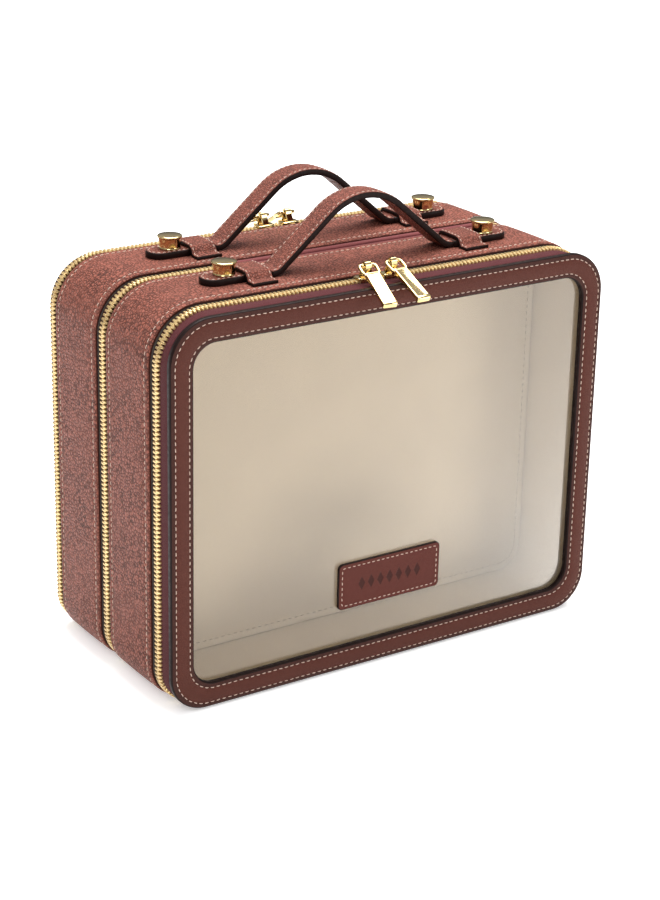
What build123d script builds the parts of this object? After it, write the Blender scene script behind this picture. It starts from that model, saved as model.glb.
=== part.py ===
from build123d import *
from dataclasses import dataclass
from math import cos, radians, sin, tan
import os

# Double-sided makeup train case: two shallow leather cases, zipped back to back.
# Origin: centre of the footprint, on the table. +X right, +Z up, front window faces -Y.
# All lengths in millimetres.

# ---- overall case ----
case_width = 290.0
case_height = 228.0
top_radius = 31.0
bottom_radius = 22.0
outer_zip_y = 59.0         # centre line of the zip between band and door, from the mid-plane

# ---- band: leather outside, stiff board, lining inside ----
band_outer_y = 53.0
band_inner_y = 6.0
leather_thickness = 1.8
glue_gap = 0.1
board_inset = leather_thickness + glue_gap
board_thickness = 1.8
lining_inset = board_inset + board_thickness + glue_gap
lining_thickness = 1.0
lining_rim_y = 58.2        # the lining stands up behind the outer zip
lining_top_y = 55.5        # but is lower along the top, where the sliders run
seam_tongue_y = 3.0        # the bands nearly meet over this stretch of the top
seam_tongue_left = -60.0
seam_tongue_right = 110.0
seam_tongue_clearance = 2.0

# ---- back wall of each compartment ----
partition_y = 18.5
partition_thickness = 2.5
backing_thickness = 1.0
partition_inset = lining_inset + lining_thickness + 2 * glue_gap

# ---- zips ----
chain_half_width = 3.0
chain_slot = 1.6           # space between the two rows, where a slider's neck runs
chain_inset = 1.5
tape_inset = 2.7
tape_thickness = 1.0
chain_thickness = tape_inset - chain_inset - glue_gap

# ---- doors ----
frame_border = 14.2
frame_edge_round = 1.2
opening_radius = 13.8
window_thickness = 0.8
window_margin = 5.0        # the sheets behind the frame stop this far inside its edge
door_backing_thickness = 1.0
hinge_half_width = 116.5
hinge_strip_end_gap = 0.5
hinge_strip_clearance = 0.8
zip_end_gap = 0.3          # between the hinge strip and the ends of a zip


@dataclass
class DoorSize:
    """Where a door stands and how big it is."""

    face_y: float
    thickness: float
    half_width: float
    bottom: float
    top: float
    upper_radius: float
    lower_radius: float


front_door = DoorSize(76.0, 4.0, 144.0, 1.2, 226.0, 25.0, 22.0)
rear_door = DoorSize(66.5, 3.0, 141.8, 3.2, 224.8, 27.0, 19.0)

# ---- badge, blank ----
badge_width = 70.0
badge_height = 28.0
badge_thickness = 1.8
badge_z = 51.7
badge_radius = 3.0
badge_edge_round = 0.5

# ---- carrying handle, one on each case; lengths along X are from the handle's middle ----
handle_x = 2.5
handle_y = 29.5
strap_width = 15.5
strap_thickness = 3.8
strap_clearance = 0.3
strap_corner = 0.8
arch_half_span = 61.0
arch_rise = 36.4
arch_leg_angle = 40.0
arch_foot_radius = 10.0
arch_foot_flat = 1.0      # level stub at each foot, before the strap turns up
strap_end_inner = 61.5
strap_end_tip = 101.5
strap_end_flat = 0.4       # width left flat at the rounded tip
strap_end_chamfer = 0.4
keeper_x = 71.0
keeper_width = 16.0
keeper_half_length = 17.0
keeper_thickness = 2.0
keeper_side_gap = 0.4
keeper_top_gap = 0.3
keeper_shoulder = 0.6
keeper_skirt = 3.0
keeper_round = 1.8
post_x = 87.0
post_base_radius = 5.6
post_top_radius = 7.0
post_height = 8.2
post_shank_radius = 2.5
post_outline = (           # radius, and height above the strap end
    (post_base_radius, 0.0),
    (post_base_radius + 0.2, 1.0),
    (post_top_radius - 0.2, post_height - 1.4),
    (post_top_radius, post_height - 0.9),
    (post_top_radius - 0.5, post_height - 0.1),
    (post_top_radius - 1.2, post_height),
    (post_top_radius - 1.6, post_height - 0.5),
    (0, post_height - 0.5),
)

# ---- sliders and pulls ----
slider_length = 11.5
slider_width = 8.5
slider_plate = 1.4
slider_lower_width = 5.0
slider_lower_plate = 1.2
slider_neck = 1.0
slider_neck_length = 6.5
slider_corner = 2.5
slider_lower_corner = 2.0
slider_neck_corner = 0.4
slider_clearance = 0.4
bridge_width = 4.0
bridge_radius = 2.2
bridge_door_spread = 0.6
bridge_band_spread = 3.8
pull_offset = 2.0          # the pull's crossbar sits this far towards the door
pull_bar_radius = 1.0
pull_bar_clearance = 0.3
pull_length = 33.0
pull_width = 8.3
pull_thickness = 2.7
bail_width = 12.0
bail_length = 9.0
bail_side = 2.0
bail_thickness = 2.2
bail_corner = 3.0
pull_corner = 0.9
pull_lip_length = 2.6
pull_lip_step = 0.35       # the lip stands this proud of the bar's two faces
pull_lip_overhang = 0.25
pull_lip_corner = 1.0
pull_recess = 0.35
pull_rim = 0.9
pull_yaw = {"left": -8.0, "right": 2.0}


@dataclass
class SliderSet:
    """Where the two sliders of an outer zip stand, and how their pulls lie at rest."""

    left: float
    right: float
    pull_height: float     # the crossbar's height above the band
    pull_droop: float      # degrees below level


front_sliders = SliderSet(-13.0, 4.0, 7.0, 26.0)
rear_sliders = SliderSet(-4.0, 13.0, 5.0, 30.0)
middle_slider_z = 172.0
middle_bar_offset = 1.7    # the middle pull hangs close beside the case
middle_bridge_radius = 2.1
middle_bridge_setback = 1.5

os.makedirs("parts", exist_ok=True)


def save(part, label):
    """Name one finished piece and write it to its own file."""
    part.label = label
    export_step(part, f"parts/{label}.step")


def across(y):
    """A plane facing the front, at depth y, whose own axes are X and Z."""
    return Plane.XZ.offset(-y)


def span(y_a, y_b):
    """The rear end and the length of a run along Y, for an extrusion towards -Y."""
    return max(y_a, y_b), abs(y_a - y_b)


def soft_rectangle(half_width, bottom, top, upper_radius, lower_radius):
    """A face whose upper and lower corners each have their own radius."""
    with BuildSketch() as face:
        with BuildLine():
            FilletPolyline(
                (half_width, bottom),
                (half_width, top),
                (-half_width, top),
                (-half_width, bottom),
                radius=[lower_radius, upper_radius, upper_radius, lower_radius],
                close=True,
            )
        make_face()
    return face.sketch


def band_outline(inset, mode=Mode.ADD):
    """Outline of the case seen from the front, drawn in from the leather's surface."""
    outline = soft_rectangle(
        case_width / 2 - inset,
        inset,
        case_height - inset,
        top_radius - inset,
        bottom_radius - inset,
    )
    add(outline, mode=mode)


def hoop(y_a, y_b, inset, thickness, gap_half_width=0.0, gap_at=(0.0, 0.0)):
    """A hoop that follows the case outline, with an optional gap in its top or bottom."""
    start, length = span(y_a, y_b)
    with BuildPart() as ring:
        with BuildSketch(across(start)):
            band_outline(inset)
            band_outline(inset + thickness, Mode.SUBTRACT)
            if gap_half_width:
                with Locations(gap_at):
                    Rectangle(2 * gap_half_width, 4 * (inset + thickness), mode=Mode.SUBTRACT)
        extrude(amount=length)
    return ring.part


def panel(y_a, y_b, inset):
    """A full panel that fills the case outline."""
    start, length = span(y_a, y_b)
    with BuildPart() as sheet:
        with BuildSketch(across(start)):
            band_outline(inset)
        extrude(amount=length)
    return sheet.part


def band_leather(side):
    """Outer leather of one case; a tongue closes the seam over part of the top."""
    start, length = span(side * band_outer_y, side * band_inner_y)
    tongue_start, tongue_length = span(side * band_inner_y, side * seam_tongue_y)
    with BuildPart() as leather:
        with BuildSketch(across(start)):
            band_outline(0)
            band_outline(leather_thickness, Mode.SUBTRACT)
        extrude(amount=length)
        with BuildSketch(across(tongue_start)):
            with Locations((seam_tongue_left, case_height)):
                Rectangle(
                    seam_tongue_right - seam_tongue_left,
                    leather_thickness,
                    align=(Align.MIN, Align.MAX),
                )
        extrude(amount=tongue_length)
    return leather.part


def band_lining(side):
    """Lining of the band: a full hoop, with a taller rim round all but the top."""
    inner_end = side * (band_inner_y + glue_gap)
    top_straight = case_width / 2 - top_radius
    whole = hoop(side * lining_top_y, inner_end, lining_inset, lining_thickness)
    rim = hoop(
        side * lining_rim_y,
        side * lining_top_y,
        lining_inset,
        lining_thickness,
        gap_half_width=top_straight,
        gap_at=(0, case_height),
    )
    with BuildPart() as lining:
        add(whole)
        add(rim)
    return lining.part


def door_outline(door, margin, upper_radius, lower_radius, mode=Mode.ADD):
    """Outline of a door, drawn in from its outer edge."""
    outline = soft_rectangle(
        door.half_width - margin,
        door.bottom + margin,
        door.top - margin,
        upper_radius,
        lower_radius,
    )
    add(outline, mode=mode)


def door_frame(side, door):
    """Leather-covered frame round the window, its outer edges eased."""
    start, length = span(side * door.face_y, side * (door.face_y - door.thickness))
    with BuildPart() as frame:
        with BuildSketch(across(start)):
            door_outline(door, 0, door.upper_radius, door.lower_radius)
        extrude(amount=length)
        outer_edge = frame.faces().sort_by(Axis.Y)[0 if side < 0 else -1].edges()
        fillet(outer_edge, frame_edge_round)
        with BuildSketch(across(start)):
            door_outline(door, frame_border, opening_radius, opening_radius)
        extrude(amount=length, mode=Mode.SUBTRACT)
    return frame.part


def door_sheet(side, door, outer_y, thickness, opening=False):
    """A sheet behind the door frame: the clear window, or the lining round it."""
    start, length = span(side * outer_y, side * (outer_y - thickness))
    upper = door.upper_radius - window_margin
    lower = door.lower_radius - window_margin
    with BuildPart() as sheet:
        with BuildSketch(across(start)):
            door_outline(door, window_margin, upper, lower)
            if opening:
                door_outline(door, frame_border, opening_radius, opening_radius, Mode.SUBTRACT)
        extrude(amount=length)
    return sheet.part


def badge(y_face):
    """Blank leather badge on the outside of the front window."""
    with BuildPart() as plate:
        with BuildSketch(across(y_face)):
            with Locations((0, badge_z)):
                RectangleRounded(badge_width, badge_height, badge_radius)
        extrude(amount=badge_thickness)
        fillet(plate.faces().sort_by(Axis.Y)[0].edges(), badge_edge_round)
    return plate.part


def hinge_strip(side, door):
    """Cloth strip under a door, which closes the gap between door and band."""
    outer_y = door.face_y - door.thickness - hinge_strip_clearance
    start, length = span(side * outer_y, side * band_outer_y)
    with BuildPart() as strip:
        with BuildSketch(across(start)):
            with Locations((0, tape_inset)):
                Rectangle(
                    2 * (hinge_half_width - hinge_strip_end_gap),
                    tape_thickness,
                    align=(Align.CENTER, Align.MIN),
                )
        extrude(amount=length)
    return strip.part


def handle_arch(side):
    """Strap of the handle: flat feet, straight legs and a round top, swept as one."""
    half_angle = radians(arch_leg_angle)
    base_z = case_height + strap_clearance + strap_thickness / 2
    leg_foot = arch_half_span - arch_foot_flat - arch_foot_radius * tan(half_angle / 2)
    peak = leg_foot * tan(half_angle)
    top_radius = (peak - arch_rise) / (1 / cos(half_angle) - 1)
    with BuildPart() as arch:
        with BuildLine(across(side * handle_y)) as route:
            FilletPolyline(
                (-arch_half_span, base_z),
                (-leg_foot, base_z),
                (0, base_z + peak),
                (leg_foot, base_z),
                (arch_half_span, base_z),
                radius=[arch_foot_radius, top_radius, arch_foot_radius],
            )
        start = Plane(
            origin=(-arch_half_span, side * handle_y, base_z), x_dir=(0, 1, 0), z_dir=(1, 0, 0)
        )
        with BuildSketch(start):
            RectangleRounded(strap_width, strap_thickness, strap_corner)
        sweep(path=route.wires()[0])
    return arch.part


def strap_end(side, hand):
    """Loose end of the strap: slides under its keeper and carries the post."""
    length = strap_end_tip - strap_end_inner
    middle = hand * (strap_end_inner + strap_end_tip) / 2
    with BuildPart() as end:
        with BuildSketch(Plane.XY.offset(case_height + strap_clearance)) as outline:
            with Locations((middle, side * handle_y)):
                Rectangle(length, strap_width)
            tip = outline.vertices().group_by(Axis.X)[-1 if hand > 0 else 0]
            fillet(tip, (strap_width - strap_end_flat) / 2)
            with Locations((hand * post_x, side * handle_y)):
                Circle(post_shank_radius, mode=Mode.SUBTRACT)
        extrude(amount=strap_thickness)
        chamfer(end.faces().sort_by(Axis.Z)[-1].outer_wire().edges(), strap_end_chamfer)
    return end.part


def post(side, hand):
    """Polished metal post, riveted through the strap end: the handle's stop."""
    seat = case_height + strap_clearance
    head = seat + strap_thickness
    with BuildPart() as stud:
        with BuildSketch(Plane.XZ.offset(-side * handle_y)):
            with BuildLine():
                Polyline(
                    (0, seat),
                    (post_shank_radius, seat),
                    (post_shank_radius, head),
                    *((radius, head + height) for radius, height in post_outline),
                    close=True,
                )
            make_face()
        revolve(axis=Axis((0, side * handle_y, 0), (0, 0, 1)))
    return Pos(hand * post_x, 0, 0) * stud.part


def keeper(side, hand):
    """Leather loop sewn across the band, with a tunnel for the strap end."""
    tunnel = strap_width / 2 + keeper_side_gap
    ceiling = strap_clearance + strap_thickness + keeper_top_gap
    hump = ceiling + keeper_thickness
    foot = keeper_thickness
    seat = Plane(
        origin=(hand * keeper_x - keeper_width / 2, side * handle_y, case_height),
        x_dir=(0, 1, 0),
        z_dir=(1, 0, 0),
    )
    with BuildPart() as loop:
        with BuildSketch(seat) as profile:
            with BuildLine():
                Polyline(
                    (-keeper_half_length, 0),
                    (-keeper_half_length, foot),
                    (-tunnel - keeper_skirt, foot),
                    (-tunnel - keeper_shoulder, hump),
                    (tunnel + keeper_shoulder, hump),
                    (tunnel + keeper_skirt, foot),
                    (keeper_half_length, foot),
                    (keeper_half_length, 0),
                    (tunnel, 0),
                    (tunnel, ceiling),
                    (-tunnel, ceiling),
                    (-tunnel, 0),
                    close=True,
                )
            make_face()
            fillet(profile.vertices().group_by(Axis.Y)[-1], keeper_round)
        extrude(amount=keeper_width)
    return loop.part


def slider_plates(plane):
    """Plates above and below the teeth and the neck between; X along the zip, Z outwards."""
    upper = slider_clearance - chain_inset
    lower = -tape_inset - tape_thickness - slider_clearance
    with BuildPart() as body:
        with BuildSketch(plane.offset(upper)):
            RectangleRounded(slider_length, slider_width, slider_corner)
        extrude(amount=slider_plate)
        with BuildSketch(plane.offset(lower)):
            RectangleRounded(slider_length, slider_lower_width, slider_lower_corner)
        extrude(amount=-slider_lower_plate)
        with BuildSketch(plane.offset(lower)):
            RectangleRounded(slider_neck_length, slider_neck, slider_neck_corner)
        extrude(amount=upper - lower)
    return body.part


def slider(side, x, pull_height):
    """Slider of an outer zip, its bridge standing over the pull's crossbar."""
    plate_top = case_height - chain_inset + slider_clearance + slider_plate
    bar_y = side * (outer_zip_y + pull_offset)
    bar_z = case_height + pull_height
    door_foot = bar_y + side * (bridge_radius + bridge_door_spread)
    band_foot = bar_y - side * (bridge_radius + bridge_band_spread)
    with BuildPart() as body:
        add(slider_plates(Plane((x, side * outer_zip_y, case_height))))
        with BuildSketch(Plane.YZ.offset(x - bridge_width / 2)):
            with BuildLine():
                Polyline(
                    (bar_y + side * bridge_radius, bar_z),
                    (door_foot, plate_top),
                    (band_foot, plate_top),
                    (bar_y - side * bridge_radius, bar_z),
                    close=True,
                )
            make_face()
            with Locations((bar_y, bar_z)):
                Circle(bridge_radius)
                Circle(pull_bar_radius + pull_bar_clearance, mode=Mode.SUBTRACT)
        extrude(amount=bridge_width)
    return body.part


def pull(pivot, across_dir, forward):
    """Slider pull: crossbar and bail at the top, a plain bar with a raised rim and lip."""
    plane = Plane(origin=pivot, x_dir=across_dir, z_dir=Vector(*across_dir).cross(Vector(*forward)))
    bail_gap = bail_width - 2 * bail_side
    bar_length = pull_length - bail_length + bail_side
    recess_length = pull_length - pull_lip_length - bail_length - pull_rim
    with BuildPart() as tab:
        with BuildSketch(plane.offset(-bail_thickness / 2)):
            with Locations((0, bail_length / 2)):
                RectangleRounded(bail_width, bail_length, bail_corner)
                Rectangle(bail_gap, bail_length - 2 * bail_side, mode=Mode.SUBTRACT)
            with Locations((0, bail_side / 2)):
                Rectangle(bail_gap, 2 * bail_side, mode=Mode.SUBTRACT)
        extrude(amount=bail_thickness)
        with BuildSketch(plane.offset(-pull_thickness / 2)):
            with Locations((0, pull_length - bar_length / 2)):
                RectangleRounded(pull_width, bar_length, pull_corner)
        extrude(amount=pull_thickness)
        with BuildSketch(plane.offset(-pull_thickness / 2 - pull_lip_step)):
            with Locations((0, pull_length - pull_lip_length / 2)):
                RectangleRounded(pull_width + 2 * pull_lip_overhang, pull_lip_length, pull_lip_corner)
        extrude(amount=pull_thickness + 2 * pull_lip_step)
        with BuildSketch(plane.offset(pull_thickness / 2)):
            with Locations((0, pull_length - pull_lip_length - pull_rim / 2 - recess_length / 2)):
                Rectangle(pull_width - 2 * pull_rim, recess_length)
        extrude(amount=-pull_recess, mode=Mode.SUBTRACT)
        bar_half = bail_width / 2 - bail_side / 2
        bar_start = Plane(
            origin=plane.from_local_coords(Vector(-bar_half, 0, 0)), z_dir=plane.x_dir
        )
        with BuildSketch(bar_start):
            Circle(pull_bar_radius)
        extrude(amount=2 * bar_half)
    return tab.part


def case_slider_pull(side, x, yaw, pull_height, droop):
    """A pull hanging over the door side of its slider, turned a little to one side."""
    pivot = (x, side * (outer_zip_y + pull_offset), case_height + pull_height)
    forward = (sin(yaw) * cos(droop), side * cos(yaw) * cos(droop), -sin(droop))
    return pull(pivot, (side * cos(yaw), -sin(yaw), 0), forward)


def middle_slider():
    """Slider of the zip that joins the two cases, on the right-hand side."""
    plate_top = case_width / 2 - chain_inset + slider_clearance + slider_plate
    bar_x = plate_top + middle_bar_offset
    z = middle_slider_z
    foot = slider_length / 2 - middle_bridge_setback
    with BuildPart() as body:
        add(slider_plates(Plane((case_width / 2, 0, z), x_dir=(0, 0, -1), z_dir=(1, 0, 0))))
        with BuildSketch(Plane.XZ.offset(-bridge_width / 2)):
            with BuildLine():
                Polyline(
                    (bar_x, z + middle_bridge_radius),
                    (plate_top, z + foot),
                    (plate_top, z - foot),
                    (bar_x, z - middle_bridge_radius),
                    close=True,
                )
            make_face()
            with Locations((bar_x, z)):
                Circle(middle_bridge_radius)
                Circle(pull_bar_radius + pull_bar_clearance, mode=Mode.SUBTRACT)
        extrude(amount=bridge_width)
    return body.part


def middle_pull():
    """Pull of the middle zip, hanging straight down beside the case."""
    plate_top = case_width / 2 - chain_inset + slider_clearance + slider_plate
    pivot = (plate_top + middle_bar_offset, 0, middle_slider_z)
    return pull(pivot, (0, -1, 0), (0, 0, -1))


def band_pieces(prefix, side):
    """Write the leather, board, lining and back wall of one case."""
    inner_end = side * (band_inner_y + glue_gap)
    board_end = side * (band_outer_y - glue_gap)
    partition_back = partition_y - partition_thickness
    backing_back = partition_back - backing_thickness
    save(band_leather(side), f"{prefix}_band_leather")
    save(hoop(board_end, inner_end, board_inset, board_thickness), f"{prefix}_band_board")
    save(band_lining(side), f"{prefix}_band_lining")
    save(panel(side * partition_y, side * partition_back, partition_inset), f"{prefix}_partition")
    save(
        panel(side * partition_back, side * backing_back, partition_inset),
        f"{prefix}_partition_backing",
    )


def zip_pieces(prefix, side, door):
    """Write the tapes and chains of one case's outer zip and its half of the middle zip."""
    row_edge = chain_slot / 2
    case_y = side * (outer_zip_y - row_edge)
    door_y = side * (outer_zip_y + row_edge)
    frame_back = side * (door.face_y - door.thickness)
    gap = {"gap_half_width": hinge_half_width + zip_end_gap}
    save(
        hoop(case_y, side * band_outer_y, tape_inset, tape_thickness, **gap),
        f"{prefix}_zip_tape_case",
    )
    save(
        hoop(frame_back, door_y, tape_inset, tape_thickness, **gap),
        f"{prefix}_zip_tape_door",
    )
    chain_case_y = side * (outer_zip_y - chain_half_width)
    chain_door_y = side * (outer_zip_y + chain_half_width)
    save(
        hoop(case_y, chain_case_y, chain_inset, chain_thickness, **gap),
        f"{prefix}_zip_chain_case",
    )
    save(
        hoop(chain_door_y, door_y, chain_inset, chain_thickness, **gap),
        f"{prefix}_zip_chain_door",
    )
    save(
        hoop(side * band_inner_y, side * row_edge, tape_inset, tape_thickness),
        f"{prefix}_middle_zip_tape",
    )
    seam_half = (seam_tongue_right - seam_tongue_left) / 2 + seam_tongue_clearance
    save(
        hoop(
            side * chain_half_width,
            side * row_edge,
            chain_inset,
            chain_thickness,
            gap_half_width=seam_half,
            gap_at=((seam_tongue_left + seam_tongue_right) / 2, case_height),
        ),
        f"{prefix}_middle_zip_chain",
    )


def door_pieces(prefix, side, door):
    """Write the frame, window and lining of one door, and the cloth it is hinged on."""
    frame_back = door.face_y - door.thickness
    window_back = frame_back - window_thickness
    save(hinge_strip(side, door), f"{prefix}_hinge_strip")
    save(door_frame(side, door), f"{prefix}_door_frame")
    save(door_sheet(side, door, frame_back, window_thickness), f"{prefix}_window")
    save(
        door_sheet(side, door, window_back, door_backing_thickness, opening=True),
        f"{prefix}_door_backing",
    )


def handle_pieces(prefix, side):
    """Write one carrying handle with its two sliding ends, posts and keepers."""
    middle = Pos(handle_x, 0, 0)
    save(middle * handle_arch(side), f"{prefix}_handle_strap")
    for hand_name, hand in (("left", -1), ("right", 1)):
        save(middle * keeper(side, hand), f"{prefix}_keeper_{hand_name}")
        save(middle * strap_end(side, hand), f"{prefix}_handle_end_{hand_name}")
        save(middle * post(side, hand), f"{prefix}_post_{hand_name}")


def slider_pieces(prefix, side, sliders):
    """Write the two sliders and pulls of one outer zip."""
    droop = radians(sliders.pull_droop)
    height = sliders.pull_height
    for hand_name, x in (("left", sliders.left), ("right", sliders.right)):
        yaw = radians(pull_yaw[hand_name])
        save(slider(side, x, height), f"{prefix}_slider_{hand_name}")
        save(case_slider_pull(side, x, yaw, height, droop), f"{prefix}_pull_{hand_name}")


for prefix, side, door, sliders in (
    ("front", -1, front_door, front_sliders),
    ("rear", 1, rear_door, rear_sliders),
):
    band_pieces(prefix, side)
    zip_pieces(prefix, side, door)
    door_pieces(prefix, side, door)
    handle_pieces(prefix, side)
    slider_pieces(prefix, side, sliders)
save(badge(front_door.thickness - front_door.face_y), "front_badge")
save(middle_slider(), "middle_slider")
save(middle_pull(), "middle_pull")
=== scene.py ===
from math import cos, pi, radians, sin, tan

import bmesh
import bpy
import numpy as np
from mathutils import Matrix, Vector


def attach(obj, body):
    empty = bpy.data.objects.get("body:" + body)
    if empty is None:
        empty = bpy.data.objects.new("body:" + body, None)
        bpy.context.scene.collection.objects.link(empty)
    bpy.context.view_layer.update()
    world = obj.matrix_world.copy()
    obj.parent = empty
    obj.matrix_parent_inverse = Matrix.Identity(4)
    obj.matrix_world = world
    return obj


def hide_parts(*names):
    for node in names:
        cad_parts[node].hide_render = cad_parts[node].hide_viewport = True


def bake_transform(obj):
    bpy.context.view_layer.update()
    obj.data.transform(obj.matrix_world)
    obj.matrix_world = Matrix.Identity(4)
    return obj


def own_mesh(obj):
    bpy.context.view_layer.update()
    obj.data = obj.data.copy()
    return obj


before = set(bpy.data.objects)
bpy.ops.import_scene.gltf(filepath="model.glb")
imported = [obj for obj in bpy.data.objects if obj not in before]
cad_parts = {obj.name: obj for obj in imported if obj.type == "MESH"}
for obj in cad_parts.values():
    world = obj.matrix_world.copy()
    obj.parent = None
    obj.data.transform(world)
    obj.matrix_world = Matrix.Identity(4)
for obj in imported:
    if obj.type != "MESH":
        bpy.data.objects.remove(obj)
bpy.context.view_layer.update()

# Lengths below are in millimetres, in the CAD frame; meshes are scaled to metres as they are made.
MM = 0.001

# ---- case ----
CASE_W, CASE_H, TOP_R, BOTTOM_R = 290.0, 228.0, 31.0, 22.0
BAND_OUT, BAND_IN = 53.0, 6.0
LINING_INSET, LINING_T = 3.8, 1.0
LINING_FRONT, LINING_FRONT_TOP = 58.2, 55.5
PARTITION_Y, PARTITION_INSET = 18.5, 5.0
ZIP_Y, CHAIN_INSET = 59.0, 1.5
HINGE_HALF_W = 116.0
SEAM_LEFT, SEAM_RIGHT = -61.0, 111.0
# ---- doors ----
FRAME_BORDER, OPENING_R, WINDOW_MARGIN, WINDOW_T = 14.2, 13.8, 5.0, 0.8
DOOR_SIZE = {  # face, thickness, half width, bottom, top, upper and lower corner radius
    "front": (76.0, 4.0, 144.0, 1.2, 226.0, 25.0, 22.0),
    "rear": (66.5, 3.0, 141.8, 3.2, 224.8, 27.0, 19.0),
}
BADGE_W, BADGE_H, BADGE_Z, BADGE_R = 70.0, 28.0, 51.7, 3.0
# ---- handle; lengths along X are from its middle ----
HANDLE_X, HANDLE_Y, STRAP_W, STRAP_T, STRAP_GAP = 2.5, 29.5, 15.5, 3.8, 0.3
ARCH_SPAN, ARCH_RISE, ARCH_LEG, FOOT_R, FOOT_FLAT = 61.0, 36.4, 40.0, 10.0, 1.0
END_INNER, END_TIP = 61.5, 101.5
KEEPER_X, KEEPER_W, KEEPER_HALF = 71.0, 16.0, 17.0
POST_X = 87.0
# ---- sliders and pulls ----
SLIDER_L, SLIDER_W = 11.5, 8.5
PULL_OFFSET, PULL_L, PULL_W, PULL_T = 2.0, 33.0, 8.3, 2.7
PULL_HEIGHT = {"front": 7.0, "rear": 5.0}
PULL_DROOP = {"front": 26.0, "rear": 30.0}
SLIDER_X = {"front": {"left": -13.0, "right": 4.0}, "rear": {"left": -4.0, "right": 13.0}}
PULL_YAW = {"left": -8.0, "right": 2.0}
MIDDLE_Z, MIDDLE_BAR_X = 172.0, 147.0
TOOTH_PITCH = 2.54

rng = np.random.default_rng(11)


# =====================================================================================
# camera
# =====================================================================================
def make_camera():
    azimuth, elevation, roll = radians(-33.92), radians(21.08), radians(1.256)
    back = np.array([sin(azimuth) * cos(elevation), -cos(azimuth) * cos(elevation), sin(elevation)])
    right = np.cross(-back, [0, 0, 1])
    right /= np.linalg.norm(right)
    up = np.cross(right, -back)
    r = cos(roll) * right + sin(roll) * up
    u = -sin(roll) * right + cos(roll) * up
    target = np.array([-1.5, 4.0, 108.0])
    place = (target + 8.859 * r - 4.378 * u + 1296.79 * back) * MM
    data = bpy.data.cameras.new("camera")
    data.lens, data.sensor_width, data.sensor_fit = 87.9, 36.0, "AUTO"
    camera = bpy.data.objects.new("camera", data)
    camera.matrix_world = Matrix(
        [[r[i], u[i], back[i], place[i]] for i in range(3)] + [[0, 0, 0, 1]]
    )
    data.clip_start, data.clip_end = 0.05, 50
    bpy.context.scene.collection.objects.link(camera)
    bpy.context.scene.camera = camera


make_camera()


# =====================================================================================
# outlines and meshes
# =====================================================================================
class Outline:
    """A rounded rectangle seen from the front, walked clockwise from its top centre."""

    def __init__(self, half_w, bottom, top, upper_r, lower_r):
        self.half_w, self.bottom, self.top = half_w, bottom, top
        self.upper_r, self.lower_r = upper_r, lower_r
        upper, lower = half_w - upper_r, half_w - lower_r
        wall = top - bottom - upper_r - lower_r
        turn, tuck = upper_r * pi / 2, lower_r * pi / 2
        self.knots = np.cumsum([0, upper, turn, wall, tuck, 2 * lower, tuck, wall, turn, upper])
        self.length = self.knots[-1]
        self.middle = (top + bottom) / 2

    def at(self, s, inset=0.0):
        """Points and outward normals, both as (x, z), at walks s."""
        s = np.mod(np.asarray(s, float), self.length)
        w, hi, lo, a, b = self.half_w, self.top, self.bottom, self.upper_r, self.lower_r
        straights = {
            0: ((0, hi), (1, 0), (0, 1)), 2: ((w, hi - a), (0, -1), (1, 0)),
            4: ((w - b, lo), (-1, 0), (0, -1)),
            6: ((-w, lo + b), (0, 1), (-1, 0)), 8: ((a - w, hi), (1, 0), (0, 1)),
        }
        corners = {
            1: ((w - a, hi - a), a, 90), 3: ((w - b, lo + b), b, 0),
            5: ((b - w, lo + b), b, -90), 7: ((a - w, hi - a), a, 180),
        }
        k = np.clip(np.searchsorted(self.knots, s, side="right") - 1, 0, 8)
        d = s - self.knots[k]
        p, n = np.zeros(s.shape + (2,)), np.zeros(s.shape + (2,))
        for i in range(9):
            m = k == i
            if i in straights:
                start, heading, outward = straights[i]
                p[m] = np.array(start) + d[m][:, None] * np.array(heading)
                n[m] = outward
            else:
                centre, r, first = corners[i]
                angle = np.radians(first) - d[m] / r
                n[m] = np.stack([np.cos(angle), np.sin(angle)], -1)
                p[m] = np.array(centre) + n[m] * r
        return p - n * inset, n

    def walk(self, first, last, step=9.0, turn=5.0):
        """Walks from first to last, closer together in the corners."""
        found = [first, last]
        laps = range(int(first // self.length) - 1, int(last // self.length) + 2)
        for lap in laps:
            for i in range(9):
                lo, hi = self.knots[i] + lap * self.length, self.knots[i + 1] + lap * self.length
                pace = step if i % 2 == 0 else radians(turn) * (self.upper_r if i in (1, 7) else self.lower_r)
                found += list(np.linspace(lo, hi, max(2, int((hi - lo) / pace) + 1)))
        found = np.unique(np.round([s for s in found if first - 1e-6 <= s <= last + 1e-6], 4))
        return found


CASE = Outline(CASE_W / 2, 0.0, CASE_H, TOP_R, BOTTOM_R)
ZIP_END = CASE.length / 2 - HINGE_HALF_W - 1.0


def piece(name, points, faces, materials, face_materials=None, uv=None, flat=False):
    """A mesh object from points in millimetres."""
    mesh = bpy.data.meshes.new(name)
    mesh.from_pydata((np.asarray(points, float) * MM).tolist(), [], [list(f) for f in faces])
    for m in materials if isinstance(materials, (list, tuple)) else [materials]:
        mesh.materials.append(m)
    if face_materials is not None:
        mesh.polygons.foreach_set("material_index", np.asarray(face_materials, np.int32))
    if uv is not None:
        layer = mesh.uv_layers.new(name="Weave")
        index = np.zeros(len(mesh.loops), np.int32)
        mesh.loops.foreach_get("vertex_index", index)
        layer.data.foreach_set("uv", np.asarray(uv, np.float32)[index].ravel())
    work = bmesh.new()
    work.from_mesh(mesh)
    bmesh.ops.recalc_face_normals(work, faces=work.faces)
    work.to_mesh(mesh)
    work.free()
    mesh.shade_flat() if flat else mesh.shade_smooth()
    obj = bpy.data.objects.new(name, mesh)
    bpy.context.scene.collection.objects.link(obj)
    return obj


def place(obj, body, slot=None, stands_for=()):
    """Ride a finished piece on its body, and hide the CAD nodes it stands for."""
    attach(obj, body)
    if stands_for:
        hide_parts(*stands_for)
    return obj


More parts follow.
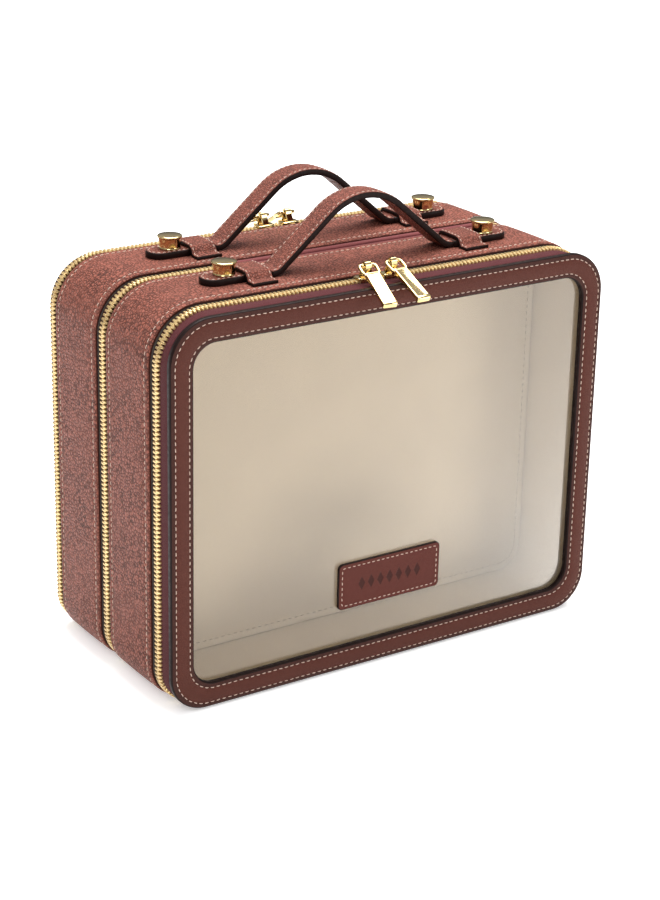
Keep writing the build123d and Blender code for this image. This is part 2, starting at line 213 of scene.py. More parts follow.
def merge(*parts):
    """Join (points, faces) pairs into one."""
    points, faces, base = [], [], 0
    for p, f in parts:
        points.append(np.asarray(p, float))
        faces += [[i + base for i in face] for face in f]
        base += len(p)
    return np.concatenate(points), faces


def tube_faces(rows, cols, closed_rows, closed_cols, caps):
    """Faces of a grid of rows by cols points."""
    faces = []
    for i in range(rows if closed_rows else rows - 1):
        for j in range(cols if closed_cols else cols - 1):
            a, b = i * cols + j, i * cols + (j + 1) % cols
            c, d = ((i + 1) % rows) * cols + (j + 1) % cols, ((i + 1) % rows) * cols + j
            faces.append((a, b, c, d))
    if caps:
        faces.append(tuple(range(cols - 1, -1, -1)))
        faces.append(tuple((rows - 1) * cols + j for j in range(cols)))
    return faces


def hoop(name, side, profile, materials, first=None, last=None, kinds=None, outline=CASE, closed=True):
    """A profile of (y, inset) points carried round the case outline."""
    whole = first is None
    s = outline.walk(0, outline.length)[:-1] if whole else outline.walk(first, last)
    points, uv = [], []
    for value in s:
        section = profile(value) if callable(profile) else profile
        section = np.asarray(section, float)
        run = np.concatenate([[0], np.cumsum(np.linalg.norm(np.diff(section, axis=0), axis=1))])
        p, n = outline.at(np.full(len(section), value))
        p = p - n * section[:, 1:2]
        points.append(np.stack([p[:, 0], side * section[:, 0], p[:, 1]], -1))
        uv.append(np.stack([np.full(len(section), value), run], -1))
    cols = len(section)
    faces = tube_faces(len(s), cols, whole, closed, caps=not whole and closed)
    per = cols if closed else cols - 1
    marks = None
    if kinds is not None:
        strips = len(s) if whole else len(s) - 1
        marks = list(np.tile(np.asarray(kinds)[:per], strips)) + [kinds[0]] * (len(faces) - per * strips)
    return piece(name, np.concatenate(points), faces, materials, marks, np.concatenate(uv))


def ring_between(outer, inner, side, profile, turn=5.0):
    """Points of (share, y) profiles carried round between two outlines of the same order."""
    s_out, s_in = [], []
    for i in range(9):
        count = max(2, int(90 / turn)) if i % 2 else max(2, int((outer.knots[i + 1] - outer.knots[i]) / 9))
        t = np.linspace(0, 1, count, endpoint=False)
        s_out.append(outer.knots[i] + t * (outer.knots[i + 1] - outer.knots[i]))
        s_in.append(inner.knots[i] + t * (inner.knots[i + 1] - inner.knots[i]))
    a, _ = outer.at(np.concatenate(s_out))
    b, _ = inner.at(np.concatenate(s_in))
    profile = np.asarray(profile, float)
    share = profile[:, 0]
    flat = a[:, None, :] * (1 - share)[None, :, None] + b[:, None, :] * share[None, :, None]
    y = np.broadcast_to(side * profile[:, 1], flat.shape[:2])
    return np.stack([flat[..., 0], y, flat[..., 1]], -1)


def on_loop(outline, side, y, inset, lift_inwards=False):
    """A walk in space along a hoop at depth y: points, normals and headings."""

    def at(s):
        p, n = outline.at(s, inset)
        ahead, _ = outline.at(np.asarray(s) + 0.05, inset)
        t = (ahead - p) / np.linalg.norm(ahead - p, axis=-1, keepdims=True)
        zero = np.zeros(p.shape[:-1])
        sign = -1 if lift_inwards else 1
        return (
            np.stack([p[..., 0], zero + side * y, p[..., 1]], -1),
            np.stack([n[..., 0], zero, n[..., 1]], -1) * sign,
            np.stack([t[..., 0], zero, t[..., 1]], -1),
        )

    return at


def on_face(outline, side, y, inset):
    """A walk along a line drawn on a door or panel face."""

    def at(s):
        p, n = outline.at(s, inset)
        ahead, _ = outline.at(np.asarray(s) + 0.05, inset)
        t = (ahead - p) / np.linalg.norm(ahead - p, axis=-1, keepdims=True)
        zero = np.zeros(p.shape[:-1])
        return (
            np.stack([p[..., 0], zero + side * y, p[..., 1]], -1),
            np.stack([zero, zero + side, zero], -1),
            np.stack([t[..., 0], zero, t[..., 1]], -1),
        )

    return at


def on_path(points, normals):
    """A walk along a polyline in space, with its own normals."""
    points, normals = np.asarray(points, float), np.asarray(normals, float)
    run = np.concatenate([[0], np.cumsum(np.linalg.norm(np.diff(points, axis=0), axis=1))])

    def at(s):
        s = np.asarray(s, float)
        p = np.stack([np.interp(s, run, points[:, i]) for i in range(3)], -1)
        q = np.stack([np.interp(s + 0.1, run, points[:, i]) for i in range(3)], -1)
        o = np.stack([np.interp(s - 0.1, run, points[:, i]) for i in range(3)], -1)
        n = np.stack([np.interp(s, run, normals[:, i]) for i in range(3)], -1)
        t = (q - o) / np.linalg.norm(q - o, axis=-1, keepdims=True)
        return p, n / np.linalg.norm(n, axis=-1, keepdims=True), t

    at.length = run[-1]
    return at


def stitches(at, first, last, pitch=3.6, length=2.4, radius=0.27, sides=6):
    """A row of short thread stitches, each a little arched with its ends sunk in the leather."""
    count = max(1, int(round((last - first) / pitch)))
    centre = first + (np.arange(count) + 0.5) * (last - first) / count
    shares = np.array([-1.0, -0.62, 0.0, 0.62, 1.0])
    heights = radius * np.array([-0.9, 0.25, 0.5, 0.25, -0.9])
    radii = radius * np.array([0.5, 0.95, 1.0, 0.95, 0.5])
    s = centre[:, None] + shares[None, :] * length / 2
    p, n, t = at(s.ravel())
    b = np.cross(n, t)
    slant = (rng.uniform(-0.13, 0.13, count)[:, None] * shares[None, :]).ravel()
    p = p + b * slant[:, None]
    turn = np.arange(sides) * 2 * pi / sides
    high = np.tile(heights, count)[:, None, None]
    r = np.tile(radii, count)[:, None, None]
    ring = (
        p[:, None, :]
        + n[:, None, :] * (high + r * np.cos(turn)[None, :, None])
        + b[:, None, :] * (r * np.sin(turn)[None, :, None])
    )
    points = ring.reshape(-1, 3)
    one = tube_faces(5, sides, False, True, caps=True)
    faces = [[i + k * 5 * sides for i in f] for k in range(count) for f in one]
    return points, faces


def slab(outline, layers, origin, x_dir, y_dir, z_dir):
    """Stacked copies of a flat outline, each drawn in by its inset, at its height."""
    x_dir, y_dir, z_dir = (np.asarray(v, float) for v in (x_dir, y_dir, z_dir))
    points = []
    for inset, height in layers:
        flat = np.asarray(outline(inset), float)
        points.append(np.asarray(origin, float) + flat[:, :1] * x_dir + flat[:, 1:] * y_dir + height * z_dir)
    return np.concatenate(points), tube_faces(len(layers), len(flat), False, True, caps=True)


def rounded_box(half_x, half_y, radius, steps=6, y0=0.0, taper=0.0):
    """The outline, anticlockwise, of a rounded rectangle drawn in by a given inset."""

    def outline(inset):
        a, b, r = half_x - inset, half_y - inset, max(radius - inset, 0.15 * radius)
        points = []
        for cx, cy, first in ((1, 1, 0), (-1, 1, 90), (-1, -1, 180), (1, -1, 270)):
            for i in range(steps + 1):
                angle = radians(first + 90 * i / steps)
                x = cx * (a - r) + r * cos(angle)
                y = cy * (b - r) + r * sin(angle)
                points.append((x, y0 + y * (1 - taper * (x / half_x + 1) / 2)))
        return points

    return outline


def strap(path, normals, widths_dir, section):
    """A flat section of (across, up) points carried along a path."""
    path, normals = np.asarray(path, float), np.asarray(normals, float)
    across = np.asarray(widths_dir, float)
    section = np.asarray(section, float)
    points = (
        path[:, None, :]
        + section[None, :, :1] * across[None, None, :]
        + section[None, :, 1:] * normals[:, None, :]
    )
    return points.reshape(-1, 3), tube_faces(len(path), len(section), False, True, caps=True)


def round_bar(path, radius, sides=10, squeeze=1.0):
    """A round bar along a path, closed at both ends."""
    path = np.asarray(path, float)
    heading = np.gradient(path, axis=0)
    heading /= np.linalg.norm(heading, axis=1, keepdims=True)
    flat = np.cross(heading[0], heading[len(path) // 3])
    if np.linalg.norm(flat) < 1e-6:
        flat = np.cross(heading[0], [0.3, 0.2, 1.0])
    flat /= np.linalg.norm(flat)
    turn = np.arange(sides) * 2 * pi / sides
    points = []
    for p, t in zip(path, heading):
        n = np.cross(flat, t)
        n /= np.linalg.norm(n)
        points.append(
            p + radius * (np.cos(turn)[:, None] * n + squeeze * np.sin(turn)[:, None] * flat)
        )
    return np.concatenate(points), tube_faces(len(path), sides, False, True, caps=True)


# =====================================================================================
# materials
# =====================================================================================
def linear(r, g, b):
    """An 8-bit display colour as linear light."""
    out = []
    for v in (r, g, b):
        v /= 255
        out.append(v / 12.92 if v <= 0.04045 else ((v + 0.055) / 1.055) ** 2.4)
    return (*out, 1.0)


class Nodes:
    """Small helper that builds one node material."""

    def __init__(self, name):
        self.material = bpy.data.materials.new(name)
        self.material.use_nodes = True
        self.tree = self.material.node_tree
        self.shader = self.tree.nodes["Principled BSDF"]
        self.output = self.tree.nodes["Material Output"]

    def add(self, kind, props=None, **inputs):
        node = self.tree.nodes.new("ShaderNode" + kind)
        for key, value in (props or {}).items():
            setattr(node, key, value)
        for key, value in inputs.items():
            self.feed(node, key, value)
        return node

    def feed(self, node, key, value):
        by_number = key[0] == "_" and key[1:].isdigit()
        socket = node.inputs[int(key[1:]) if by_number else key.replace("_", " ")]
        if isinstance(value, bpy.types.NodeSocket):
            self.tree.links.new(value, socket)
        else:
            socket.default_value = value

    def math(self, how, a, b=0.0, c=None, clamp=False):
        node = self.add("Math", {"operation": how, "use_clamp": clamp}, _0=a, _1=b)
        if c is not None:
            self.feed(node, "_2", c)
        return node.outputs[0]

    def place(self, scale=1000.0, stretch=(1, 1, 1)):
        """Object coordinates, in millimetres."""
        coords = self.add("TexCoord").outputs["Object"]
        node = self.add("Mapping", Vector=coords)
        node.inputs["Scale"].default_value = tuple(scale * v for v in stretch)
        return node.outputs[0]

    def ramp(self, value, stops, ease="LINEAR"):
        node = self.add("ValToRGB", Fac=value)
        node.color_ramp.interpolation = ease
        while len(node.color_ramp.elements) < len(stops):
            node.color_ramp.elements.new(0.5)
        for element, (at, colour) in zip(node.color_ramp.elements, stops):
            element.position = at
            element.color = colour if len(colour) == 4 else (*colour, 1)
        return node.outputs[0]

    def level(self, value, low, high, to_low=0.0, to_high=1.0, smooth=True):
        node = self.add(
            "MapRange",
            {"interpolation_type": "SMOOTHSTEP" if smooth else "LINEAR"},
            Value=value,
            From_Min=low,
            From_Max=high,
            To_Min=to_low,
            To_Max=to_high,
        )
        return node.outputs[0]

    def mix(self, factor, a, b, how="MIX"):
        node = self.add("Mix", {"data_type": "RGBA", "blend_type": how})
        for socket, value in ((node.inputs[0], factor), (node.inputs[6], a), (node.inputs[7], b)):
            if isinstance(value, bpy.types.NodeSocket):
                self.tree.links.new(value, socket)
            else:
                socket.default_value = value
        return node.outputs[2]

    def bump(self, height, distance, strength=1.0, under=None):
        node = self.add("Bump", Height=height, Distance=distance, Strength=strength)
        if under is not None:
            self.feed(node, "Normal", under)
        return node.outputs[0]

    def surface(self, **inputs):
        for key, value in inputs.items():
            self.feed(self.shader, key, value)
        return self.material


def shade(colour, factor):
    return (*(min(1.0, v * factor) for v in colour[:3]), 1.0)


def leather(name, colour, cell=1.5, depth=0.00016, rough=0.5, contrast=0.3, gloss=0.12, extra=None):
    """Pebbled leather: rounded cells with creases painted darker as painted shade, a fine grain and uneven
    dye.
    """
    m = Nodes(name)
    where = m.place()
    drift = m.add("TexNoise", Vector=where, Scale=0.35, Detail=2.0)
    warped = m.add("VectorMath", {"operation": "MULTIPLY_ADD"}, _0=drift.outputs["Color"], _2=where)
    warped.inputs[1].default_value = (0.9, 0.9, 0.9)
    to_edge = {"feature": "DISTANCE_TO_EDGE"}
    cells = m.add("TexVoronoi", to_edge, Vector=warped.outputs[0], Scale=1 / cell, Randomness=0.9)
    small = m.add("TexVoronoi", to_edge, Vector=warped.outputs[0], Scale=1.9 / cell, Randomness=1.0)
    tone = m.add("TexVoronoi", {"feature": "F1"}, Vector=warped.outputs[0], Scale=1 / cell, Randomness=0.9)
    fine = m.add("TexNoise", Vector=where, Scale=5.0, Detail=3.0, Roughness=0.6)
    cloud = m.add("TexNoise", Vector=where, Scale=0.03, Detail=3.0, Roughness=0.55)
    pebble = m.level(cells.outputs["Distance"], 0.0, 0.30)
    grain = m.level(small.outputs["Distance"], 0.0, 0.22)
    height = m.math("MULTIPLY_ADD", grain, 0.35, m.math("MULTIPLY", pebble, 1.0))
    height = m.math("MULTIPLY_ADD", fine.outputs["Fac"], 0.25, height)
    # contrast sets the painted shade in the creases between the pebbles, and how much lighter the random cell
    # specks are.
    painted_crease_shade, light = shade(colour, 1 - contrast), shade(colour, 1 + 0.28 * contrast)
    body = m.mix(pebble, painted_crease_shade, colour)
    speck = m.add("SeparateColor", Color=tone.outputs["Color"]).outputs[0]
    body = m.mix(m.level(speck, 0.45, 1.0, 0.0, 0.55), body, light)
    uneven = m.level(cloud.outputs["Fac"], 0.35, 0.68, 0.0, 1.0)
    body = m.mix(uneven, m.mix(0.3, body, shade(colour, 0.85)), body)
    if extra:
        body, height = extra(m, body, height)
    m.surface(
        Base_Color=body,
        Roughness=m.level(pebble, 0.0, 1.0, rough + 0.14, rough - 0.03),
        Normal=m.bump(height, depth, 0.9),
        Specular_IOR_Level=gloss,
    )
    return m.material


def painted_edge(name, colour):
    """Thick painted edge of cut leather: smooth, slightly lumpy, worn lighter in places."""
    m = Nodes(name)
    where = m.place()
    lump = m.add("TexNoise", Vector=where, Scale=0.45, Detail=3.0)
    fine = m.add("TexNoise", Vector=where, Scale=3.0, Detail=2.0)
    wear = m.level(fine.outputs["Fac"], 0.55, 0.8)
    m.surface(
        Base_Color=m.mix(m.math("MULTIPLY", wear, 0.5), colour, shade(colour, 1.9)),
        Roughness=m.level(lump.outputs["Fac"], 0.3, 0.7, 0.36, 0.52),
        Specular_IOR_Level=0.1,
        Normal=m.bump(m.math("MULTIPLY_ADD", fine.outputs["Fac"], 0.3, lump.outputs["Fac"]), 0.00025, 0.7),
    )
    return m.material


def thread(name, colour):
    """Waxed twisted thread."""
    m = Nodes(name)
    where = m.place()
    twist = m.add("TexWave", {"bands_direction": "DIAGONAL"}, Vector=where, Scale=0.7, Distortion=1.5)
    soil = m.add("TexNoise", Vector=where, Scale=0.12, Detail=2.0)
    body = m.mix(m.level(twist.outputs["Fac"], 0.2, 0.8), shade(colour, 0.72), colour)
    m.surface(
        Base_Color=m.mix(m.level(soil.outputs["Fac"], 0.4, 0.75), body, shade(colour, 0.8)),
        Roughness=0.62,
        Normal=m.bump(twist.outputs["Fac"], 0.00008, 0.6),
        Sheen_Weight=0.15,
    )
    return m.material


def woven(name, colour, pitch=0.55, rough=0.8, contrast=0.35, sheen=0.25):
    """Woven tape or cloth, with its ribs along the strip."""
    m = Nodes(name)
    uv = m.add("UVMap", {"uv_map": "Weave"}).outputs[0]
    split = m.add("SeparateXYZ", Vector=uv)
    along = m.math("SINE", m.math("MULTIPLY", split.outputs[0], 2 * pi / pitch))
    over = m.math("SINE", m.math("MULTIPLY", split.outputs[1], 2 * pi / pitch))
    weave = m.math("MULTIPLY", along, over)
    rib = m.math("ABSOLUTE", m.math("SINE", m.math("MULTIPLY", split.outputs[1], pi / 1.1)))
    where = m.place()
    cloud = m.add("TexNoise", Vector=where, Scale=0.08, Detail=3.0)
    fibre = m.add("TexNoise", Vector=where, Scale=3.0, Detail=2.0)
    height = m.math("MULTIPLY_ADD", rib, 0.7, weave)
    body = m.mix(m.level(weave, -0.8, 0.8), shade(colour, 1 - contrast), shade(colour, 1 + 0.3 * contrast))
    body = m.mix(m.level(cloud.outputs["Fac"], 0.35, 0.7), body, shade(colour, 0.85))
    m.surface(
        Base_Color=body,
        Roughness=m.level(fibre.outputs["Fac"], 0.3, 0.7, rough - 0.08, rough + 0.08),
        Normal=m.bump(height, 0.0001, 0.6),
        Specular_IOR_Level=0.2,
        Sheen_Weight=sheen,
        Sheen_Roughness=0.5,
    )
    return m.material


def lining_cloth(name, colour):
    """Smooth coated lining with a faint grain and soft rumples."""
    m = Nodes(name)
    where = m.place()
    grain = m.add("TexNoise", Vector=where, Scale=2.2, Detail=3.0, Roughness=0.6)
    rumple = m.add("TexNoise", Vector=where, Scale=0.022, Detail=2.0, Distortion=0.4)
    body = m.mix(m.level(rumple.outputs["Fac"], 0.35, 0.68), colour, shade(colour, 0.93))
    body = m.mix(m.level(grain.outputs["Fac"], 0.3, 0.75), body, shade(colour, 1.05))
    soft = m.bump(rumple.outputs["Fac"], 0.001, 0.08)
    m.surface(
        Base_Color=body,
        Roughness=m.level(grain.outputs["Fac"], 0.3, 0.7, 0.6, 0.72),
        Normal=soft,
        Specular_IOR_Level=0.2,
    )
    return m.material


def metal(name, colour, rough=0.12, scratch=0.00002, metallic=1.0):
    """Polished plated metal with fine scratches and handling marks."""
    m = Nodes(name)
    where = m.place(stretch=(1, 1, 0.25))
    mark = m.add("TexNoise", Vector=where, Scale=1.6, Detail=4.0, Roughness=0.7)
    smear = m.add("TexNoise", Vector=m.place(), Scale=0.25, Detail=2.0)
    m.surface(
        Base_Color=m.mix(m.level(smear.outputs["Fac"], 0.35, 0.7), colour, shade(colour, 0.86)),
        Metallic=metallic,
        Roughness=m.level(mark.outputs["Fac"], 0.3, 0.75, rough * 0.7, rough * 1.5),
        Normal=m.bump(mark.outputs["Fac"], scratch, 0.5),
    )
    return m.material


def clear_sheet(name, tint):
    """Clear flexible plastic: nearly all see-through, with a gloss on top."""
    m = Nodes(name)
    where = m.place()
    dust = m.add("TexNoise", Vector=where, Scale=0.9, Detail=3.0)
    see = m.add("BsdfTransparent")
    see.inputs["Color"].default_value = tint
    gloss = m.add("BsdfGlossy", Roughness=m.level(dust.outputs["Fac"], 0.4, 0.8, 0.03, 0.09))
    gloss.inputs["Color"].default_value = (1, 1, 1, 1)
    rim = m.add("Fresnel", IOR=1.38)
    mixed = m.add("MixShader", Fac=rim.outputs[0])
    m.tree.links.new(see.outputs[0], mixed.inputs[1])
    m.tree.links.new(gloss.outputs[0], mixed.inputs[2])
    m.tree.links.new(mixed.outputs[0], m.output.inputs["Surface"])
    m.tree.nodes.remove(m.shader)
    return m.material


def board(name, colour):
    """Rough fibre board."""
    m = Nodes(name)
    where = m.place()
    fibre = m.add("TexNoise", Vector=where, Scale=1.1, Detail=5.0, Roughness=0.7)
    m.surface(
        Base_Color=m.mix(m.level(fibre.outputs["Fac"], 0.3, 0.7), colour, shade(colour, 1.5)),
        Roughness=0.85,
        Normal=m.bump(fibre.outputs["Fac"], 0.0002, 0.6),
    )
    return m.material


LOZENGE_PITCH = 6.4


def lozenges(m, body, height):
    """A plain row of pressed lozenges along the middle of the badge, darkened inside as painted shade in the
    recesses.
    """
    coords = m.add("SeparateXYZ", Vector=m.place())
    x, z = coords.outputs[0], coords.outputs[2]
    steps = m.math("FRACT", m.math("DIVIDE", m.math("ADD", x, LOZENGE_PITCH / 2), LOZENGE_PITCH))
    cell = m.math("ABSOLUTE", m.math("SUBTRACT", steps, 0.5))
    across = m.math("DIVIDE", m.math("MULTIPLY", cell, LOZENGE_PITCH), 2.5)
    up = m.math("DIVIDE", m.math("ABSOLUTE", m.math("SUBTRACT", z, BADGE_Z)), 4.6)
    far = m.level(m.math("ABSOLUTE", x), 22.2, 22.5, smooth=False)
    pressed = m.level(m.math("ADD", m.math("ADD", across, up), far), 0.8, 1.02, 1.0, 0.0)
    # The pressed lozenges are darkened: painted shade in the recesses.
    body = m.mix(m.math("MULTIPLY", pressed, 0.85), body, shade(BADGE_RED, 0.35))
    return body, m.math("MULTIPLY_ADD", pressed, -3.2, height)


BAND_BROWN = linear(150, 88, 73)
FRAME_BROWN = linear(86, 46, 37)
BADGE_RED = linear(88, 42, 34)

mat_band = leather(
    "pebbled_leather", BAND_BROWN, cell=2.0, depth=0.0005, rough=0.42, contrast=0.78, gloss=0.16
)
mat_frame = leather("frame_leather", FRAME_BROWN, cell=1.0, depth=0.0001, rough=0.5, contrast=0.25)
# A darker copy of the frame leather for the strips between each stitch row and the nearer edge: painted shade
# where the frame slopes away from the light.
mat_frame_painted_shade_rim = leather(
    "frame_leather_painted_shade_rim", linear(66, 38, 32), cell=1.0, depth=0.0001, rough=0.5, contrast=0.2
)
mat_strap = leather(
    "strap_leather", linear(142, 82, 68), cell=1.6, depth=0.0004, rough=0.42, contrast=0.75, gloss=0.16
)
mat_badge = leather(
    "badge_leather", BADGE_RED, cell=0.8, depth=0.00006, rough=0.42, contrast=0.2, extra=lozenges
)
mat_edge = painted_edge("edge_paint", linear(28, 16, 14))
mat_band_edge = painted_edge("band_edge", linear(66, 34, 28))
mat_thread = thread("thread_cream", linear(214, 184, 166))
mat_lining_thread = thread("thread_lining", linear(198, 182, 158))
mat_tape = woven("zip_tape", linear(78, 20, 26), contrast=0.3, sheen=0.05)
# A darker copy of the zip tape: painted shade for tape sunk in the gaps under the band edges.
mat_tape_painted_shade = woven("zip_tape_painted_shade", linear(56, 22, 20), contrast=0.3, sheen=0.0)
mat_seam = woven("seam_cloth", linear(118, 58, 58), contrast=0.2, sheen=0.05)
mat_backing = woven("backing_cloth", linear(96, 52, 50), pitch=0.9, contrast=0.3)
mat_lining = lining_cloth("lining", linear(226, 216, 198))
mat_gold = metal("gold_metal", linear(218, 194, 140), rough=0.08)
mat_teeth = metal("zip_teeth", linear(226, 196, 140), rough=0.3, metallic=0.7)
mat_window = clear_sheet("window", (0.93, 0.905, 0.87, 1))
mat_board = board("stiffener", linear(70, 64, 60))


# =====================================================================================
# bands, linings and back walls
# =====================================================================================
EDGE_ROLL = [(0.0, 1.7), (0.0, 1.25), (0.14, 0.75), (0.5, 0.32), (1.1, 0.06), (1.9, -0.06), (2.7, -0.02)]
CHANNEL = [(3.35, 0.14), (4.0, 0.3), (4.65, 0.14), (5.5, -0.02)]
STITCH_IN = 4.0


def band_profile():
    """Leather wall of a band: rolled edges, a stitched channel along each, a low crown between."""
    width = BAND_OUT - BAND_IN
    first = [(BAND_OUT - e, d) for e, d in EDGE_ROLL + CHANNEL]
    crown = [(BAND_OUT - e, -0.28 * sin(pi * e / width)) for e in np.linspace(8.5, width - 8.5, 7)]
    second = [(BAND_IN + e, d) for e, d in reversed(EDGE_ROLL + CHANNEL)]
    return first + crown + second


def build_band(prefix, side):
    body = f"{prefix}_case"
    profile = band_profile()
    kinds = [1 if i < 2 or i >= len(profile) - 3 else 0 for i in range(len(profile))]
    skin = hoop(f"{prefix}_band_skin", side, profile, [mat_band, mat_band_edge], kinds=kinds)
    place(skin, body, "pebbled_leather", [f"{prefix}_band_leather"])
    rows = [
        stitches(on_loop(CASE, side, y, 0.18), 0, CASE.length)
        for y in (BAND_OUT - STITCH_IN, BAND_IN + STITCH_IN)
    ]
    place(piece(f"{prefix}_band_stitching", *merge(*rows), mat_thread), body)

    inset, inner = LINING_INSET, LINING_INSET + LINING_T

    def lining_profile(s):
        walked = min(abs(s), abs(CASE.length - s))
        t = np.clip((walked - CASE_W / 2 + TOP_R) / 10.0, 0, 1)
        front = LINING_FRONT_TOP + (LINING_FRONT - LINING_FRONT_TOP) * t
        return [
            (front, inset), (front + 0.25, inset + 0.5), (front, inner), (front - 1.0, inner + 0.05),
            (front - 3.0, inner - 0.05), (44.0, inner + 0.12), (32.0, inner + 0.2), (22.0, inner + 0.05),
            (17.0, inner), (6.2, inner), (6.2, inset),
        ]

    wall = hoop(f"{prefix}_lining_wall", side, lining_profile, mat_lining)
    place(wall, body, "lining", [f"{prefix}_band_lining"])


def panel_disc(outline, inset, side, heights, back, bulge, rings=14):
    """A soft panel: rolled rim, then rings drawn in to the middle, closed behind."""
    s = outline.walk(0, outline.length)[:-1]
    p, n = outline.at(s, inset)
    rows = [np.stack([p[:, 0], np.full(len(s), side * back), p[:, 1]], -1)]
    for e, y in heights:
        q = p - n * e
        rows.append(np.stack([q[:, 0], np.full(len(s), side * y), q[:, 1]], -1))
    centre = np.array([0.0, outline.middle])
    edge = p - n * heights[-1][0]
    for k in range(1, rings):
        share = k / rings
        q = centre + (edge - centre) * (1 - share)
        soft = bulge * sin(pi / 2 * share)
        wave = 0.35 * bulge * np.sin(q[:, 0] / 31.0 + 1.3) * np.cos(q[:, 1] / 27.0) * share
        rows.append(np.stack([q[:, 0], side * (heights[-1][1] + soft + wave), q[:, 1]], -1))
    cols = len(s)
    points = np.concatenate(rows)
    faces = tube_faces(len(rows), cols, False, True, caps=False)
    last = (len(rows) - 1) * cols
    middle = len(points)
    points = np.concatenate([points, [[0, side * (heights[-1][1] + bulge), outline.middle]]])
    faces += [(last + j, last + (j + 1) % cols, middle) for j in range(cols)]
    faces.append(tuple(range(cols)))
    uv = points[:, [0, 2]]
    return points, faces, uv


def build_back_wall(prefix, side):
    body = f"{prefix}_case"
    rim = [(0.0, PARTITION_Y - 1.6), (0.15, PARTITION_Y - 0.8), (0.7, PARTITION_Y - 0.2), (1.6, PARTITION_Y),
           (4.2, PARTITION_Y + 0.05), (5.0, PARTITION_Y - 0.12), (5.8, PARTITION_Y + 0.05)]
    points, faces, uv = panel_disc(CASE, PARTITION_INSET, side, rim, PARTITION_Y - 2.5, 0.5)
    wall = piece(f"{prefix}_back_wall", points, faces, mat_lining, uv=uv)
    place(wall, body, "lining", [f"{prefix}_partition"])
    line = on_face(CASE, side, PARTITION_Y, PARTITION_INSET + 5.0)
    row = stitches(line, 0, CASE.length, pitch=4.2, radius=0.3)
    place(piece(f"{prefix}_back_wall_stitching", *row, mat_lining_thread), body)
    rim = [(0.0, 15.7), (0.3, 15.2), (1.2, 15.0), (3.0, 15.0)]
    points, faces, uv = panel_disc(CASE, PARTITION_INSET, side, rim, 16.0, -0.25)
    cloth = piece(f"{prefix}_pocket_cloth", points, faces, mat_backing, uv=uv)
    place(cloth, body, "backing_cloth", [f"{prefix}_partition_backing"])
    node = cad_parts[f"{prefix}_band_board"]
    node.data.materials.clear()
    node.data.materials.append(mat_board)


# =====================================================================================
# zips
# =====================================================================================
def tooth_row(side_sign, centre_y, first, last, start, y_mirror=1):
    """One row of zip teeth. side_sign is +1 for the row nearer the door (or the rear)."""
    count = int((last - first) / TOOTH_PITCH)
    pitch = (last - first) / count
    s = first + (np.arange(count) + start) * pitch
    sections = [  # y from the centre line, half width along the zip, top and bottom inset
        (3.15, 0.44, 1.7, 3.3), (2.9, 0.68, 1.15, 3.7), (1.5, 0.68, 0.95, 3.8),
        (0.35, 0.6, 0.95, 3.8), (-0.55, 0.7, 1.15, 3.7), (-0.95, 0.44, 1.7, 3.4),
    ]
    ring = []
    for y, half, top, bottom in sections:
        c = 0.22
        ring.append([
            (y, -half + c, top), (y, half - c, top), (y, half, top + c), (y, half, bottom - c),
            (y, half - c, bottom), (y, -half + c, bottom), (y, -half, bottom - c), (y, -half, top + c),
        ])
    ring = np.asarray(ring, float).reshape(-1, 3)
    p, n = CASE.at(s)
    t = np.stack([n[:, 1], -n[:, 0]], -1)
    wobble = rng.normal(0, 0.035, (count, 1, 1))
    flat = p[:, None, :] + t[:, None, :] * (ring[None, :, 1:2] + wobble) - n[:, None, :] * ring[None, :, 2:3]
    y = y_mirror * (centre_y + side_sign * np.broadcast_to(ring[None, :, 0], flat.shape[:2]))
    points = np.stack([flat[..., 0], y, flat[..., 1]], -1).reshape(-1, 3)
    one = tube_faces(len(sections), 8, False, True, caps=True)
    faces = [[i + k * 8 * len(sections) for i in f] for k in range(count) for f in one]
    return points, faces


def tape_strip(name, side, section, first, last, cloth):
    """A woven strip: the section's (y, inset) points, given 0.6 of thickness."""
    section = [tuple(v) for v in section]
    back = [(y, d + 0.6) for y, d in reversed(section)]
    return hoop(name, side, section + back, cloth, first, last)


